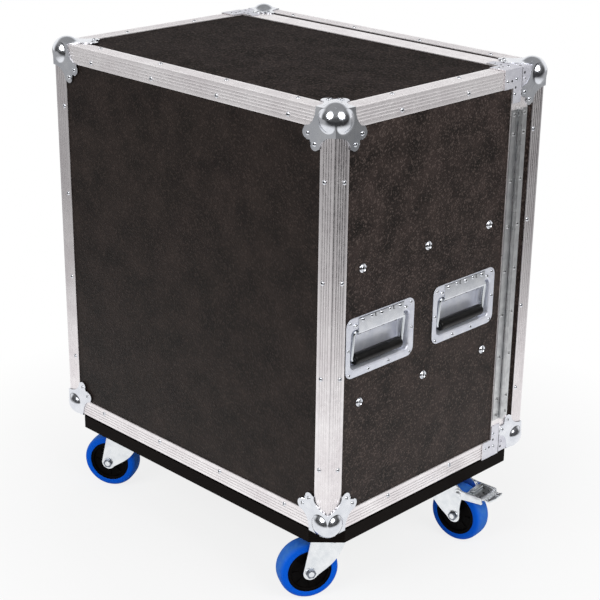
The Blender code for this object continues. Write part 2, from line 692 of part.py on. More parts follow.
def castors():
    """Four castors under the body's base; the two at the door side have brakes."""
    left = -HALF_W + CASTOR_LEFT_INSET
    right = HALF_W - CASTOR_RIGHT_INSET
    back = BACK_Y - CASTOR_BACK_INSET
    front = FRONT_Y + CASTOR_FRONT_INSET
    castor("back_left_castor", (left, back), 61.5, False)
    castor("back_right_castor", (right, back), 29.0, False)
    castor("front_left_castor", (left, front), 186.5, True)
    castor("front_right_castor", (right, front), 352.0, True)


def handle_places():
    """Name, side and centre of each recessed handle."""
    for side, side_name in ((-1, "left"), (1, "right")):
        for place, name in ((0, "back"), (1, "front")):
            y = BACK_Y - HANDLE_BACK - place * HANDLE_PITCH
            yield f"{side_name}_{name}_handle", side, Vector((side * HALF_W, y, CASE_Z + HANDLE_LEVEL))


def handle_frame(name, side, centre):
    """An empty at the handle: local +Z points out of the case and +Y up."""
    frame = bpy.data.objects.new(f"{name}_frame", None)
    bpy.context.scene.collection.objects.link(frame)
    columns = (Vector((0, side, 0)), Vector((0, 0, 1)), Vector((side, 0, 0)))
    rotation = Matrix([[column[row] for column in columns] for row in range(3)]).to_4x4()
    frame.matrix_local = Matrix.Translation(centre) @ rotation
    return frame


def handle(name, frame):
    """Pressed dish with a rolled hinge strip, and the sprung bail with its rubber grip."""
    sheet = HANDLE_SHEET
    top = -GAP
    under = top - sheet

    def tub(grow, level):
        outline = rounded_rectangle(HANDLE_TUB_WIDTH + grow, TUB_HEIGHT + grow, 9 * MM, (0, TUB_MIDDLE))
        return [Vector((x, y, level)) for x, y in outline]

    def flange(level):
        outline = rounded_rectangle(HANDLE_WIDTH, HANDLE_HEIGHT, HANDLE_CORNER)
        return [Vector((x, y, level)) for x, y in outline]

    dish = loft([tub(2 * sheet - HANDLE_TUB_TAPER, -HANDLE_TUB_DEEP - sheet), tub(2 * sheet, under),
                 flange(under), flange(top), tub(0, top), tub(-HANDLE_TUB_TAPER, -HANDLE_TUB_DEEP)])
    dish_object = new_object(f"{name}_dish", dish, "zinc", smooth=35, parent=frame)
    pivot_y = HANDLE_HEIGHT / 2 - HANDLE_TUB_TOP - BAIL_AXIS_DROP
    inner = BAIL_ROD + GAP
    outer = BAIL_AXIS_DEPTH - GAP + sheet
    axis = (pivot_y, -BAIL_AXIS_DEPTH)
    far = HANDLE_HEIGHT / 2 - 2 * MM
    curl = [(far, -BAIL_AXIS_DEPTH + inner), (far, sheet - GAP)]
    curl += arc(axis, outer, 90, 235, 7) + arc(axis, inner, 235, 90, 7)
    strip_turn = Matrix(((0, 0, 1, 0), (1, 0, 0, 0), (0, 1, 0, 0), (0, 0, 0, 1)))
    half = BAIL_LEG_SPREAD - 6 * MM
    strip = prism(curl, -half, half, strip_turn)
    boolean(dish_object, new_cutter(f"{name}_strip", strip, parent=frame), "UNION")

    tilt = Matrix.Rotation(math.radians(BAIL_TILT_DEG), 4, "X")
    place = Matrix.Translation((0, pivot_y, -BAIL_AXIS_DEPTH)) @ tilt
    lie = Matrix.Rotation(math.radians(90), 4, "Y")
    rod_half = BAIL_LEG_SPREAD
    grip = turned([(0, -rod_half + 4 * MM), (GRIP_RADIUS - 1 * MM, -rod_half + 4 * MM),
                   (GRIP_RADIUS, -rod_half + 5 * MM), (GRIP_RADIUS, rod_half - 5 * MM),
                   (GRIP_RADIUS - 1 * MM, rod_half - 4 * MM), (0, rod_half - 4 * MM)], 14)
    grip.transform(Matrix.Translation((0, -BAIL_LEG_LENGTH, 0)) @ lie)
    bail = new_object(f"{name}_bail", grip, "chrome", smooth=35, parent=frame, place=place)
    rod = BAIL_LEG_RADIUS
    hang = Matrix.Rotation(math.radians(-90), 4, "X")
    legs = []
    for side in (-1, 1):
        leg = turned([(0, rod), (rod, 0), (rod, -BAIL_LEG_LENGTH + rod), (0, -BAIL_LEG_LENGTH - rod)], 8)
        leg.transform(Matrix.Translation((side * BAIL_LEG_SPREAD, 0, 0)) @ hang)
        legs.append(leg)
    boolean(bail, new_cutter(f"{name}_bail_legs", merge(*legs), parent=frame, place=place), "UNION")
    bars = []
    for height in (0, -BAIL_LEG_LENGTH):
        bar = turned([(0, -rod_half), (BAIL_ROD, -rod_half), (BAIL_ROD, rod_half), (0, rod_half)], 8)
        bar.transform(Matrix.Translation((0, height, 0)) @ lie)
        bars.append(bar)
    boolean(bail, new_cutter(f"{name}_bail_bars", merge(*bars), parent=frame, place=place), "UNION")


def handles(panels_by_side):
    """Two handles on each side, each in a cut through its panel."""
    margin = 2 * (HANDLE_SHEET + 2 * GAP)
    for name, side, centre in handle_places():
        frame = handle_frame(name, side, centre)
        handle(name, frame)
        hole = rounded_rectangle(HANDLE_TUB_WIDTH + margin, TUB_HEIGHT + margin, 9 * MM, (0, TUB_MIDDLE))
        cutter = new_cutter(f"{name}_hole", prism(hole, -INNER - REACH_OUT, REACH_OUT), parent=frame)
        boolean(panels_by_side[side], cutter, "DIFFERENCE")
        seat = rounded_rectangle(HANDLE_WIDTH + 2 * GAP, HANDLE_HEIGHT + 2 * GAP, HANDLE_CORNER)
        recess = new_cutter(f"{name}_seat", prism(seat, -GAP - HANDLE_SHEET - GAP, REACH_OUT), parent=frame)
        boolean(panels_by_side[side], recess, "DIFFERENCE")


def hinge_axis():
    """Point on the door hinge's vertical axis, at floor level."""
    return Vector((-HALF_W - GAP - KNUCKLE_RADIUS, SPLIT_Y, 0))


def piano_hinge():
    """Two leaves with alternate knuckles, and the pin through them."""
    axis = hinge_axis()
    low = CASE_Z + (CASE_HEIGHT - HINGE_LENGTH) / 2
    pitch = HINGE_LENGTH / KNUCKLE_COUNT
    face = -KNUCKLE_RADIUS
    for name, way, start in (("hinge_body_leaf", 1, 0), ("hinge_door_leaf", -1, 1)):
        flat = [(-face, way * 1.2 * MM), (-face, way * HINGE_LEAF),
                (-face - HINGE_SHEET, way * HINGE_LEAF), (-face - HINGE_SHEET, way * 1.2 * MM)]
        place = Matrix.Translation((axis.x, axis.y, low))
        leaf = new_object(name, prism(flat, 0, HINGE_LENGTH), "zinc", smooth=35, place=place)
        rings = []
        for k in range(start, KNUCKLE_COUNT, 2):
            bottom = k * pitch + (GAP if k else 0)
            top = (k + 1) * pitch - (GAP if k < KNUCKLE_COUNT - 1 else 0)
            ring = turned([(HINGE_PIN_RADIUS + GAP, bottom), (KNUCKLE_RADIUS, bottom),
                           (KNUCKLE_RADIUS, top), (HINGE_PIN_RADIUS + GAP, top)], KNUCKLE_SEGMENTS)
            rings.append(ring)
        boolean(leaf, new_cutter(f"{name}_knuckles", merge(*rings), place=place), "UNION")
        notches = []
        for k in range(1 - start, KNUCKLE_COUNT, 2):
            clear = KNUCKLE_RADIUS + 2 * GAP
            notches.append(box((-clear, -clear, k * pitch - GAP), (clear, clear, (k + 1) * pitch + GAP)))
        boolean(leaf, new_cutter(f"{name}_notches", merge(*notches), place=place), "DIFFERENCE")
    profile = [(0, 0), (HINGE_PIN_RADIUS, 0), (HINGE_PIN_RADIUS, HINGE_LENGTH), (0, HINGE_LENGTH)]
    pin = turned(profile, KNUCKLE_SEGMENTS)
    new_object("hinge_pin", pin, "zinc", smooth=35, place=Matrix.Translation((axis.x, axis.y, low)))


def latch_dish(name, level):
    """Dish for the turning wing, open towards the door, with ears for the claw's pin."""
    half = LATCH_FLANGE_HEIGHT / 2
    sheet = HANDLE_SHEET
    deep = LATCH_TUB_DEEP
    rim = LATCH_RIM
    spans = (level - half, level + half)
    flange = right_box((GAP, GAP + sheet), (2 * GAP, LATCH_FLANGE_DEPTH), spans)
    dish = new_object(f"{name}_dish", flange, "zinc")
    tub = right_box((GAP + sheet / 2, deep), (rim - sheet, LATCH_FLANGE_DEPTH - rim + sheet),
                    (spans[0] + rim - sheet, spans[1] - rim + sheet))
    hollow = right_box((-REACH_OUT, deep - sheet), (rim, LATCH_FLANGE_DEPTH - rim),
                       (spans[0] + rim, spans[1] - rim))
    boolean(dish, new_cutter(f"{name}_tub", tub), "UNION")
    boolean(dish, new_cutter(f"{name}_hollow", hollow), "DIFFERENCE")
    mouth = CLAW_WIDTH / 2 + MOUTH_CLEAR
    mouth_back = rim + OVERLAP
    opening = right_box((-REACH_OUT, deep - sheet), (-REACH_OUT, mouth_back), (level - mouth, level + mouth))
    boolean(dish, new_cutter(f"{name}_mouth", opening), "DIFFERENCE")
    floor = right_box((deep - sheet, deep), (2 * GAP, mouth_back), (level - mouth, level + mouth))
    boolean(dish, new_cutter(f"{name}_floor", floor), "UNION")
    ear = CLAW_WIDTH / 2 + GAP
    ears = []
    for side in (-1, 1):
        heights = sorted((level + side * ear, level + side * (ear + EAR_SHEET)))
        ears.append(right_box((CLAW_PIVOT_DEPTH - EAR_RISE, deep - sheet / 2),
                              (CLAW_PIVOT_BACK - EAR_HALF, CLAW_PIVOT_BACK + EAR_HALF), heights))
    boolean(dish, new_cutter(f"{name}_ears", merge(*ears)), "UNION")
    pin_half = ear + EAR_SHEET / 2
    pin = turned([(0, level - pin_half), (CLAW_PIN, level - pin_half),
                  (CLAW_PIN, level + pin_half), (0, level + pin_half)], 10)
    place = right_side(CLAW_PIVOT_DEPTH, CLAW_PIVOT_BACK, 0)
    boolean(dish, new_cutter(f"{name}_pin", pin, place=Matrix.Translation(place)), "UNION")


def latch_wing(name, level):
    """Butterfly thumb-turn on its spindle; it turns about X in the dish."""
    blade = []
    for middle in (0, 180):
        blade += arc((0, 0), WING_RADIUS, middle - WING_BLADE_DEG / 2, middle + WING_BLADE_DEG / 2, 6)
    outline = blade[:6] + [(0, WING_WAIST)] + blade[6:] + [(0, -WING_WAIST)]
    low = -(LATCH_TUB_DEEP - HANDLE_SHEET) + GAP
    turn = Matrix(((0, 0, 1, 0), (0, 1, 0, 0), (-1, 0, 0, 0), (0, 0, 0, 1)))
    place = Matrix.Translation(right_side(0, WING_BACK, level)) @ turn
    blank = prism(outline, -WING_TOP - WING_SHEET, -WING_TOP)
    wing = new_object(f"{name}_wing", blank, "zinc", smooth=35, place=place)
    under = -WING_TOP - OVERLAP
    spindle = turned([(0, under), (SPINDLE_RADIUS, under), (SPINDLE_RADIUS + SPINDLE_FLARE, low), (0, low)], 16)
    boolean(wing, new_cutter(f"{name}_spindle", spindle, place=place), "UNION")


def latch_claw(name, level):
    """Hook that the wing swings over the keeper's bar; drawn lifted, as it is undone."""
    half = CLAW_WIDTH / 2
    tip = -CLAW_REACH
    inner = CLAW_EYE - CLAW_STRAP - OVERLAP
    hook = tip + CLAW_HOOK
    section = arc((0, 0), CLAW_EYE, 0, 225, 9)
    section += [(inner, -CLAW_EYE - GAP), (inner, hook), (-CLAW_HOOK_DEEP, hook), (-CLAW_HOOK_DEEP, tip),
                (CLAW_EYE - OVERLAP, tip), (CLAW_EYE, tip + OVERLAP)]
    lift = Matrix.Rotation(math.radians(CLAW_RELEASE_DEG), 4, "Z")
    place = Matrix.Translation(right_side(CLAW_PIVOT_DEPTH, CLAW_PIVOT_BACK, level)) @ lift
    claw = new_object(f"{name}_claw", prism(section, -half, half), "zinc", smooth=35, place=place)
    eye, past = CLAW_PIN + GAP, half + OVERLAP
    hole = turned([(0, -past), (eye, -past), (eye, past), (0, past)], 10)
    boolean(claw, new_cutter(f"{name}_claw_hole", hole, place=place), "DIFFERENCE")


def latch_keeper(name, level):
    """Small dish on the door with the bar that the claw hooks behind."""
    half = KEEPER_FLANGE_HEIGHT / 2
    sheet = HANDLE_SHEET
    deep = LATCH_TUB_DEEP
    rim = KEEPER_RIM
    near, far = -3 * GAP, -KEEPER_FLANGE_DEPTH
    spans = (level - half, level + half)
    keeper = new_object(f"{name}_keeper", right_box((GAP, GAP + sheet), (far, near), spans), "zinc")
    tub = right_box((GAP + sheet / 2, deep), (far + rim - sheet, near),
                    (spans[0] + rim - sheet, spans[1] - rim + sheet))
    hollow = right_box((-REACH_OUT, deep - sheet), (far + rim, OVERLAP), (spans[0] + rim, spans[1] - rim))
    boolean(keeper, new_cutter(f"{name}_keeper_tub", tub), "UNION")
    boolean(keeper, new_cutter(f"{name}_keeper_hollow", hollow), "DIFFERENCE")
    bar = CLAW_PIVOT_BACK - CLAW_REACH + CLAW_HOOK + STRIKE_CLEAR
    strike = right_box((CLAW_PIVOT_DEPTH, deep - sheet / 2), (bar, bar + STRIKE_WIDTH),
                       (spans[0] + rim - sheet / 2, spans[1] - rim + sheet / 2))
    boolean(keeper, new_cutter(f"{name}_strike", strike), "UNION")


def latches(right_panel, body_rim, door_rim, door_wall):
    """Two latches across the joint, and the notches that they sit in."""
    clear = GAP
    deep = LATCH_TUB_DEEP + clear
    for name, level in zip(("lower_latch", "upper_latch"), LATCH_LEVELS):
        latch_dish(name, level)
        latch_wing(name, level)
        latch_claw(name, level)
        latch_keeper(name, level)
        half = LATCH_FLANGE_HEIGHT / 2 + clear
        rim_cut = right_box((-REACH_OUT, deep), (-2 * REACH_OUT, RIM_FLANGE + REACH_OUT),
                            (level - half, level + half))
        boolean(body_rim, new_cutter(f"{name}_rim_cut", rim_cut), "DIFFERENCE")
        seat = right_box((-REACH_OUT, 3 * GAP + HANDLE_SHEET), (-REACH_OUT, LATCH_FLANGE_DEPTH + clear),
                         (level - half, level + half))
        boolean(right_panel, new_cutter(f"{name}_seat", seat), "DIFFERENCE")
        tub = LATCH_FLANGE_HEIGHT / 2 - LATCH_RIM + HANDLE_SHEET + clear
        tub_back = LATCH_FLANGE_DEPTH - LATCH_RIM + HANDLE_SHEET + clear
        hole = right_box((-REACH_OUT, INNER + REACH_OUT), (-REACH_OUT, tub_back), (level - tub, level + tub))
        boolean(right_panel, new_cutter(f"{name}_hole", hole), "DIFFERENCE")
        half = KEEPER_FLANGE_HEIGHT / 2 + clear
        keeper = right_box((-REACH_OUT, deep), (-KEEPER_FLANGE_DEPTH - clear, REACH_OUT),
                           (level - half, level + half))
        keeper_cut = new_cutter(f"{name}_keeper_cut", keeper)
        boolean(door_rim, keeper_cut, "DIFFERENCE")
        boolean(door_wall, keeper_cut, "DIFFERENCE")


def shelves():
    """Two plywood shelves between the side panels."""
    wide = HALF_W - INNER - GAP
    front = SPLIT_Y + SHELF_SETBACK
    back = BACK_Y - INNER - GAP
    for name, level in zip(("lower_shelf", "upper_shelf"), SHELF_LEVELS):
        low = CASE_Z + level - SHELF_PLY / 2
        new_object(name, box((-wide, front, low), (wide, back, low + SHELF_PLY)), "shelf")


def centre_on_floor():
    """Move the whole case so that its outline, castors included, is centred on the origin."""
    bpy.context.view_layer.update()
    graph = bpy.context.evaluated_depsgraph_get()
    points = []
    for obj in bpy.data.objects:
        if obj.type == "MESH" and not obj.hide_render:
            solid = obj.evaluated_get(graph)
            points += [obj.matrix_world @ vertex.co for vertex in solid.to_mesh().vertices]
            solid.to_mesh_clear()
    shift = []
    for axis in (0, 1):
        values = [point[axis] for point in points]
        shift.append(-(min(values) + max(values)) / 2)
    for obj in bpy.data.objects:
        if obj.parent is None:
            obj.matrix_world = Matrix.Translation((shift[0], shift[1], 0)) @ obj.matrix_world


def main():
    """Build the case from an empty scene."""
    for obj in list(bpy.data.objects):
        bpy.data.objects.remove(obj)
    sides = panels()
    edges()
    body_rim, door_rim = rims()
    door_wall = door_shell()
    ball_corners()
    castor_board()
    castors()
    handles(sides)
    piano_hinge()
    latches(sides[1], body_rim, door_rim, door_wall)
    shelves()
    centre_on_floor()


main()
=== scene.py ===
"""Looks of the accessory flight case: dark plywood, ribbed aluminium, ball corners and castors.

Shapes are worked out with numpy in millimetres of the row frame: +X is the right side, +Y the
back, +Z up. The door is at -Y, and its hinge is on the left.
"""

from __future__ import annotations

import json
import logging
import math
from dataclasses import dataclass, field
from enum import Enum
from typing import Callable, Iterable, Sequence

import bmesh
import bpy
import numpy as np
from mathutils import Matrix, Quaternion, Vector

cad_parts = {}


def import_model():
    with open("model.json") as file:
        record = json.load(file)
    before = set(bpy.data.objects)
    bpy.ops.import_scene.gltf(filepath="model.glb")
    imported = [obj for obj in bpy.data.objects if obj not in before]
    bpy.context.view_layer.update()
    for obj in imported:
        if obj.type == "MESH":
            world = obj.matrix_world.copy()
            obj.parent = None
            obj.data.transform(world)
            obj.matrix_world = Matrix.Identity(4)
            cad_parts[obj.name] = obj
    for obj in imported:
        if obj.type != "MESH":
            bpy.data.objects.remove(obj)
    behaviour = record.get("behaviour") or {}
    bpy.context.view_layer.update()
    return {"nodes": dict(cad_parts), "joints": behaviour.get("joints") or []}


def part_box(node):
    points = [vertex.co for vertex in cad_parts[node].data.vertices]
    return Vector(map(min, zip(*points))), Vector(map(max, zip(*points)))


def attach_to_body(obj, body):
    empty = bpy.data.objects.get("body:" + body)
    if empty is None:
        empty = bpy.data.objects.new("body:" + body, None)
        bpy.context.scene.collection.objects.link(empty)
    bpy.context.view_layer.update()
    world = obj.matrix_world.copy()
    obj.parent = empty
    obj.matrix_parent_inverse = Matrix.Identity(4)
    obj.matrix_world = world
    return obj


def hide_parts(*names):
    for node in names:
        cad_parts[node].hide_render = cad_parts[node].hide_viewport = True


Array = np.ndarray
Material = bpy.types.Material
Piece = bpy.types.Object
Socket = bpy.types.NodeSocket
Tree = bpy.types.NodeTree
Pair = tuple[float, float]
Triple = tuple[float, float, float]
Quad = tuple[float, float, float, float]
Profile = tuple[Pair, ...]
LOG = logging.getLogger("flight_case")
MM = 0.001
# Clearance between neighbouring pieces, in millimetres.
GAP = 0.3
# Further than any point of the case, in millimetres.
FAR = 1e3
WHITE = (1, 1, 1, 1)
RANGE = ("From Min", "From Max", "To Min", "To Max")
SIDES = ((-1, "left"), (1, "right"))
# Whether it is at the top, and its name.
LEVELS = ((True, "top"), (False, "bottom"))
# Whether it is the door's end, its name in the pieces' names, and the body there.
ENDS = ((False, "back", "case"), (True, "door", "door"))


class Slot(str, Enum):
    """Material slots of the record."""

    BOARD_PLY = "board_ply"
    EDGING = "edging"
    STEEL = "zinc_steel"
    GRIP = "grip_rubber"
    WHEEL = "wheel_rubber"


def linear(colour: str) -> Quad:
    """Turn an sRGB hex colour into linear values.

    Args:
        colour: six hex digits.

    Returns:
        Red, green, blue and alpha, each from 0 to 1.
    """
    parts = np.array([int(colour[i:i + 2], 16) for i in (0, 2, 4)]) / 255
    values = np.where(parts <= 0.04045, parts / 12.92, ((parts + 0.055) / 1.055) ** 2.4)
    return (*values.tolist(), 1.0)


def add_node(tree: Tree, kind: str, values: dict | None = None,
             links: dict | None = None, **settings: object) -> bpy.types.Node:
    """Add one node with its settings, socket values and incoming links.

    Args:
        tree: node tree to add to.
        kind: Blender's type name of the node, after ShaderNode.
        values: constant by socket name or index.
        links: output socket by name or index of the socket that it goes to.
        settings: properties of the node itself.

    Returns:
        The new node.
    """
    node = tree.nodes.new(f"ShaderNode{kind}")
    for key, value in settings.items():
        setattr(node, key, value)
    for socket, value in (values or {}).items():
        node.inputs[socket].default_value = value
    for socket, source in (links or {}).items():
        tree.links.new(source, node.inputs[socket])
    return node


@dataclass(frozen=True)
class Finish:
    """Surface finish whose colour, gloss and relief each follow a pattern.

    The colour runs from the first to the second while its pattern crosses the span, and the
    roughness swings about its own value in the same way. The relief is its depth in millimetres
    and its strength. A noise is its blotches' size in millimetres, its detail and its roughness.
    The grain runs along the axis whose stretch is small.
    """

    name: str
    first: str
    second: str
    roughness: float
    metallic: float = 0.0
    specular: float = 0.5
    cloud: Triple | None = None
    smudge: Triple | None = None
    grain: Triple | None = None
    stretch: Triple | None = None
    span: Pair = (0.3, 0.7)
    gloss_span: Pair = (0.3, 0.7)
    swing: Pair = (-0.06, 0.1)
    relief: Pair = (0.05, 0.5)

    def drive(self, tree: Tree, place: Socket, noises: dict) -> tuple:
        """Pick what drives the colour, the roughness and the relief.

        Args:
            tree: the material's nodes.
            place: the object's own coordinates.
            noises: the output of each noise, by its field's name.

        Returns:
            Three outputs. The roughness stays even where its own is None.
        """
        return noises["cloud"], noises["smudge"], noises["grain"]

    def tint(self, tree: Tree, colour: Socket) -> Socket:
        """Lay anything else over the colour."""
        return colour

    def build(self) -> Material:
        """Make the material, with its even values on the shader's own sockets.

        Returns:
            The material.
        """
        material = bpy.data.materials.new(self.name)
        material.use_nodes = True
        tree = material.node_tree
        shader = tree.nodes["Principled BSDF"]
        shader.inputs["Roughness"].default_value = self.roughness
        shader.inputs["Metallic"].default_value = self.metallic
        shader.inputs["Specular IOR Level"].default_value = self.specular
        place = along = add_node(tree, "TexCoord").outputs["Object"]
        if self.stretch:
            along = add_node(tree, "Mapping", {"Scale": self.stretch}, {"Vector": place}).outputs[0]
        noises = {}
        for key, vector in (("cloud", place), ("smudge", place), ("grain", along)):
            if getattr(self, key):
                size, detail, rough = getattr(self, key)
                values = {"Scale": 1 / (size * MM), "Detail": detail, "Roughness": rough}
                noises[key] = add_node(tree, "TexNoise", values, {"Vector": vector}).outputs["Fac"]
        tone, gloss, height = self.drive(tree, place, noises)
        ramp = add_node(tree, "ValToRGB", links={"Fac": tone})
        colours = (self.first, self.second)
        for stop, position, colour in zip(ramp.color_ramp.elements, self.span, colours):
            stop.position = position
            stop.color = linear(colour)
        tree.links.new(self.tint(tree, ramp.outputs["Color"]), shader.inputs["Base Color"])
        depth, strength = self.relief
        relief = add_node(tree, "Bump", {"Strength": strength, "Distance": depth * MM},
                          {"Height": height})
        tree.links.new(relief.outputs["Normal"], shader.inputs["Normal"])
        if gloss is not None:
            limits = (*self.gloss_span, *(self.roughness + change for change in self.swing))
            swing = add_node(tree, "MapRange", dict(zip(RANGE, limits)), {"Value": gloss})
            tree.links.new(swing.outputs["Result"], shader.inputs["Roughness"])
        return material


@dataclass(frozen=True)
class FilmFacedPly(Finish):
    """Phenolic film pressed with a fine pebble: dark brown, half dull, with some pebbles painted paler
    as glints of light.

    The real pebble is about 1 mm across. It is drawn coarser, so that it shows.
    """

    cloud: Triple = (45, 4, 0.5)
    smudge: Triple = (3.2, 2, 0.7)
    span: Pair = (0.3, 0.75)
    swing: Pair = (0.08, -0.14)
    relief: Pair = (0.4, 0.9)
    # Colour of the painted highlight on glinting pebbles.
    glint_colour: str = "72645E"
    pebble_mm: float = 2.4
    glint_chance: Quad = (0.45, 1.0, 0.0, 0.38)

    def drive(self, tree: Tree, place: Socket, noises: dict) -> tuple:
        """The pebble is a pattern of smooth cells; see Finish.drive."""
        cells = add_node(tree, "TexVoronoi", {"Scale": 1 / (self.pebble_mm * MM)}, {"Vector": place},
                         feature="SMOOTH_F1", name="pebble")
        return noises["cloud"], noises["smudge"], cells.outputs["Distance"]

    def tint(self, tree: Tree, colour: Socket) -> Socket:
        """Paint some pebbles paler as glints of light, by each cell's own chance; see Finish.tint."""
        cell = add_node(tree, "SeparateColor", links={"Color": tree.nodes["pebble"].outputs["Color"]})
        # Painted highlight: pale glints on some pebbles, by each cell's chance.
        glint_chance = add_node(tree, "MapRange", dict(zip(RANGE, self.glint_chance)), {"Value": cell.outputs[0]})
        return add_node(tree, "Mix", {7: linear(self.glint_colour)}, {0: glint_chance.outputs[0], 6: colour},
                        data_type="RGBA").outputs[2]


@dataclass(frozen=True)
class DrawnAluminium(Finish):
    """Mill-finish aluminium extrusion: satin silver with die lines along the bar.

    The colour drifts slowly and handling smudges the gloss. Real die lines are finer than 0.1 mm.
    They are drawn 0.7 mm apart, so that they show.
    """

    metallic: float = 1.0
    cloud: Triple = (60, 3, 0.5)
    smudge: Triple = (9, 3, 0.6)
    grain: Triple = (0.7, 2, 0.5)
    relief: Pair = (0.08, 1.0)


@dataclass(frozen=True)
class ZincPlate(Finish):
    """Zinc-plated pressed steel: cool silver, fairly bright, softly clouded, slightly pebbled.

    The pebble is drawn coarser than the real one, so that it shows.
    """

    metallic: float = 1.0
    cloud: Triple = (14, 3, 0.5)
    smudge: Triple = (5, 3, 0.6)
    grain: Triple = (2.5, 2, 0.5)
    swing: Pair = (-0.05, 0.08)
    relief: Pair = (0.02, 0.5)


@dataclass(frozen=True)
class MouldedRubber(Finish):
    """Moulded rubber or nylon: dusty in patches, with a soft highlight over a fine mould texture.

    The mould's texture is drawn coarser than the real one, so that it shows.
    """

    cloud: Triple = (12, 4, 0.5)
    smudge: Triple = (6, 3, 0.5)
    grain: Triple = (0.9, 2, 0.5)
    span: Pair = (0.4, 0.85)


@dataclass(frozen=True)
class TyreRubber(Finish):
    """Elastic blue tyre: clean and satin on the wall, greyed by dust where the tread rolls."""

    cloud: Triple = (7, 4, 0.65)
    grain: Triple = (1.2, 2, 0.5)
    span: Pair = (0.0, 1.0)
    gloss_span: Pair = (0.0, 1.0)
    swing: Pair = (0.0, 0.35)
    dust: Quad = (0.3, 0.7, 0.35, 1.0)

    def drive(self, tree: Tree, place: Socket, noises: dict) -> tuple:
        """Wear comes from the piece's own attribute, broken up by noise; see Finish.drive."""
        wear = add_node(tree, "Attribute", attribute_name="wear").outputs["Fac"]
        dust = add_node(tree, "MapRange", dict(zip(RANGE, self.dust)), {"Value": noises["cloud"]})
        amount = add_node(tree, "Math", links={0: wear, 1: dust.outputs[0]},
                          operation="MULTIPLY").outputs[0]
        return amount, amount, noises["grain"]


@dataclass(frozen=True)
class StainedPly(Finish):
    """Birch ply, stained or plain: faint long grain on its faces, thin veneer lines round its edge.

    Real veneers are about 1.4 mm thick, close to what is drawn.
    """

    grain: Triple = (2.0, 4, 0.6)
    stretch: Triple = (0.08, 1, 1)
    span: Pair = (0.35, 0.95)
    relief: Pair = (0.12, 0.5)
    veneer_mm: float = 1.6
    veneer_share: float = 0.35

    def drive(self, tree: Tree, place: Socket, noises: dict) -> tuple:
        """Veneers are a sine of height, added to the grain; see Finish.drive."""
        height = add_node(tree, "SeparateXYZ", links={"Vector": place}).outputs["Z"]
        turns = add_node(tree, "Math", {1: math.pi / (self.veneer_mm * MM)}, {0: height},
                         operation="MULTIPLY")
        layers = add_node(tree, "Math", links={0: turns.outputs[0]}, operation="SINE").outputs[0]
        both = add_node(tree, "Math", {1: self.veneer_share}, {0: layers, 2: noises["grain"]},
                        operation="MULTIPLY_ADD").outputs[0]
        return both, None, noises["grain"]


class Finishes:
    """Every material of the case, by what it is."""

    def __init__(self) -> None:
        """Build the materials once."""
        self.film = FilmFacedPly("film_faced_ply", "191412", "2B2320", 0.48, specular=0.13,
                                 glint_colour="4B403B").build()
        # Lit and shaded copies of one film: the sides' copy is painted paler, as painted light; the
        # top's keeps almost no gloss, so it reads darker, as painted shade.
        self.lit_side_film = FilmFacedPly("film_faced_ply_lit_side", "191412", "392F2C", 0.46,
                                      specular=0.14).build()
        self.shaded_top_film = FilmFacedPly("film_faced_ply_shaded_top", "191412", "2B2423", 0.7,
                                     specular=0.02).build()
        self.bars = []
        bars = (("across", 0.7, (0.02, 1, 1)), ("deep", 0.7, (1, 0.02, 1)),
                ("upright", 1.0, (1, 1, 0.02)))
        for name, metallic, stretch in bars:
            bar = DrawnAluminium(f"drawn_aluminium_{name}", "EAE4E6", "FBF7F8", 0.3, metallic,
                                 stretch=stretch)
            self.bars.append(bar.build())
        self.aluminium = self.bars[1]
        self.zinc = ZincPlate("zinc_plate", "E2E6EA", "F4F6F8", 0.3).build()
        self.bright_zinc = ZincPlate("bright_zinc", "D9DCE3", "E9EBF0", 0.15).build()
        self.chrome = ZincPlate("chrome_plate", "D2D6DB", "DFE3E7", 0.07).build()
        self.dish = ZincPlate("blue_zinc_plate", "DDE0EC", "EEF0F8", 0.4, 0.65).build()
        self.brace = ZincPlate("hot_dip_zinc", "D6D6E0", "E8E8EF", 0.45, 0.6).build()
        self.hinge = ZincPlate("dull_zinc_plate", "C4C5C7", "DEDFE0", 0.36).build()
        self.nut = ZincPlate("dark_zinc_nut", "6A6E78", "8E939C", 0.3).build()
        self.grip = MouldedRubber("black_rubber", "0A0909", "151313", 0.36, specular=0.25).build()
        self.hub = MouldedRubber("black_nylon", "050404", "0E0B0A", 0.55, specular=0.04).build()
        self.tyre = TyreRubber("blue_tyre_rubber", "0056CC", "4078C4", 0.45, specular=0.06).build()
        self.board = StainedPly("stained_ply", "080605", "1A1310", 0.6, specular=0.05).build()
        self.birch = StainedPly("birch_ply", "B68B5C", "94693F", 0.6).build()
        # Painted shade: a dark material laid in pits, holes, notches and a seam's gap, where only shade
        # falls.
        self.shadow = MouldedRubber("painted_shade_recess", "0A0A0A", "101010", 0.7).build()
        self.studs = [self.bright_zinc, self.shadow]


def ease(value: Array) -> Array:
    """Smooth step: 3x^2 - 2x^3 of x held between 0 and 1."""
    x = np.clip(value, 0, 1)
    return x * x * (3 - 2 * x)


def arc(centre: Sequence[float], radius: float, start: float, end: float, count: int) -> Array:
    """Points centre + radius (cos a, sin a) as a goes from start to end degrees, both included.

    Args:
        centre: of the circle.
        radius: of the circle.
        start: first angle in degrees.
        end: last angle in degrees, included.
        count: how many points.

    Returns:
        Points, count by two.
    """
    angle = np.radians(np.linspace(start, end, count))
    return np.stack([centre[0] + radius * np.cos(angle), centre[1] + radius * np.sin(angle)], -1)


def rounded(width: float, height: float, radius: float, centre: Pair = (0, 0), steps: int = 7) -> Array:
    """Counter-clockwise rectangle with round corners: four quarter arcs in a row.

    Args:
        width: along x.
        height: along y.
        radius: of the corners.
        centre: its middle.
        steps: points on each quarter.

    Returns:
        Its outline as (x, y) points.
    """
    parts = []
    for sx, sy, start in ((1, 1, 0), (-1, 1, 90), (-1, -1, 180), (1, -1, 270)):
        middle = (centre[0] + sx * (width / 2 - radius), centre[1] + sy * (height / 2 - radius))
        parts.append(arc(middle, radius, start, start + 90, steps))
    return np.concatenate(parts)


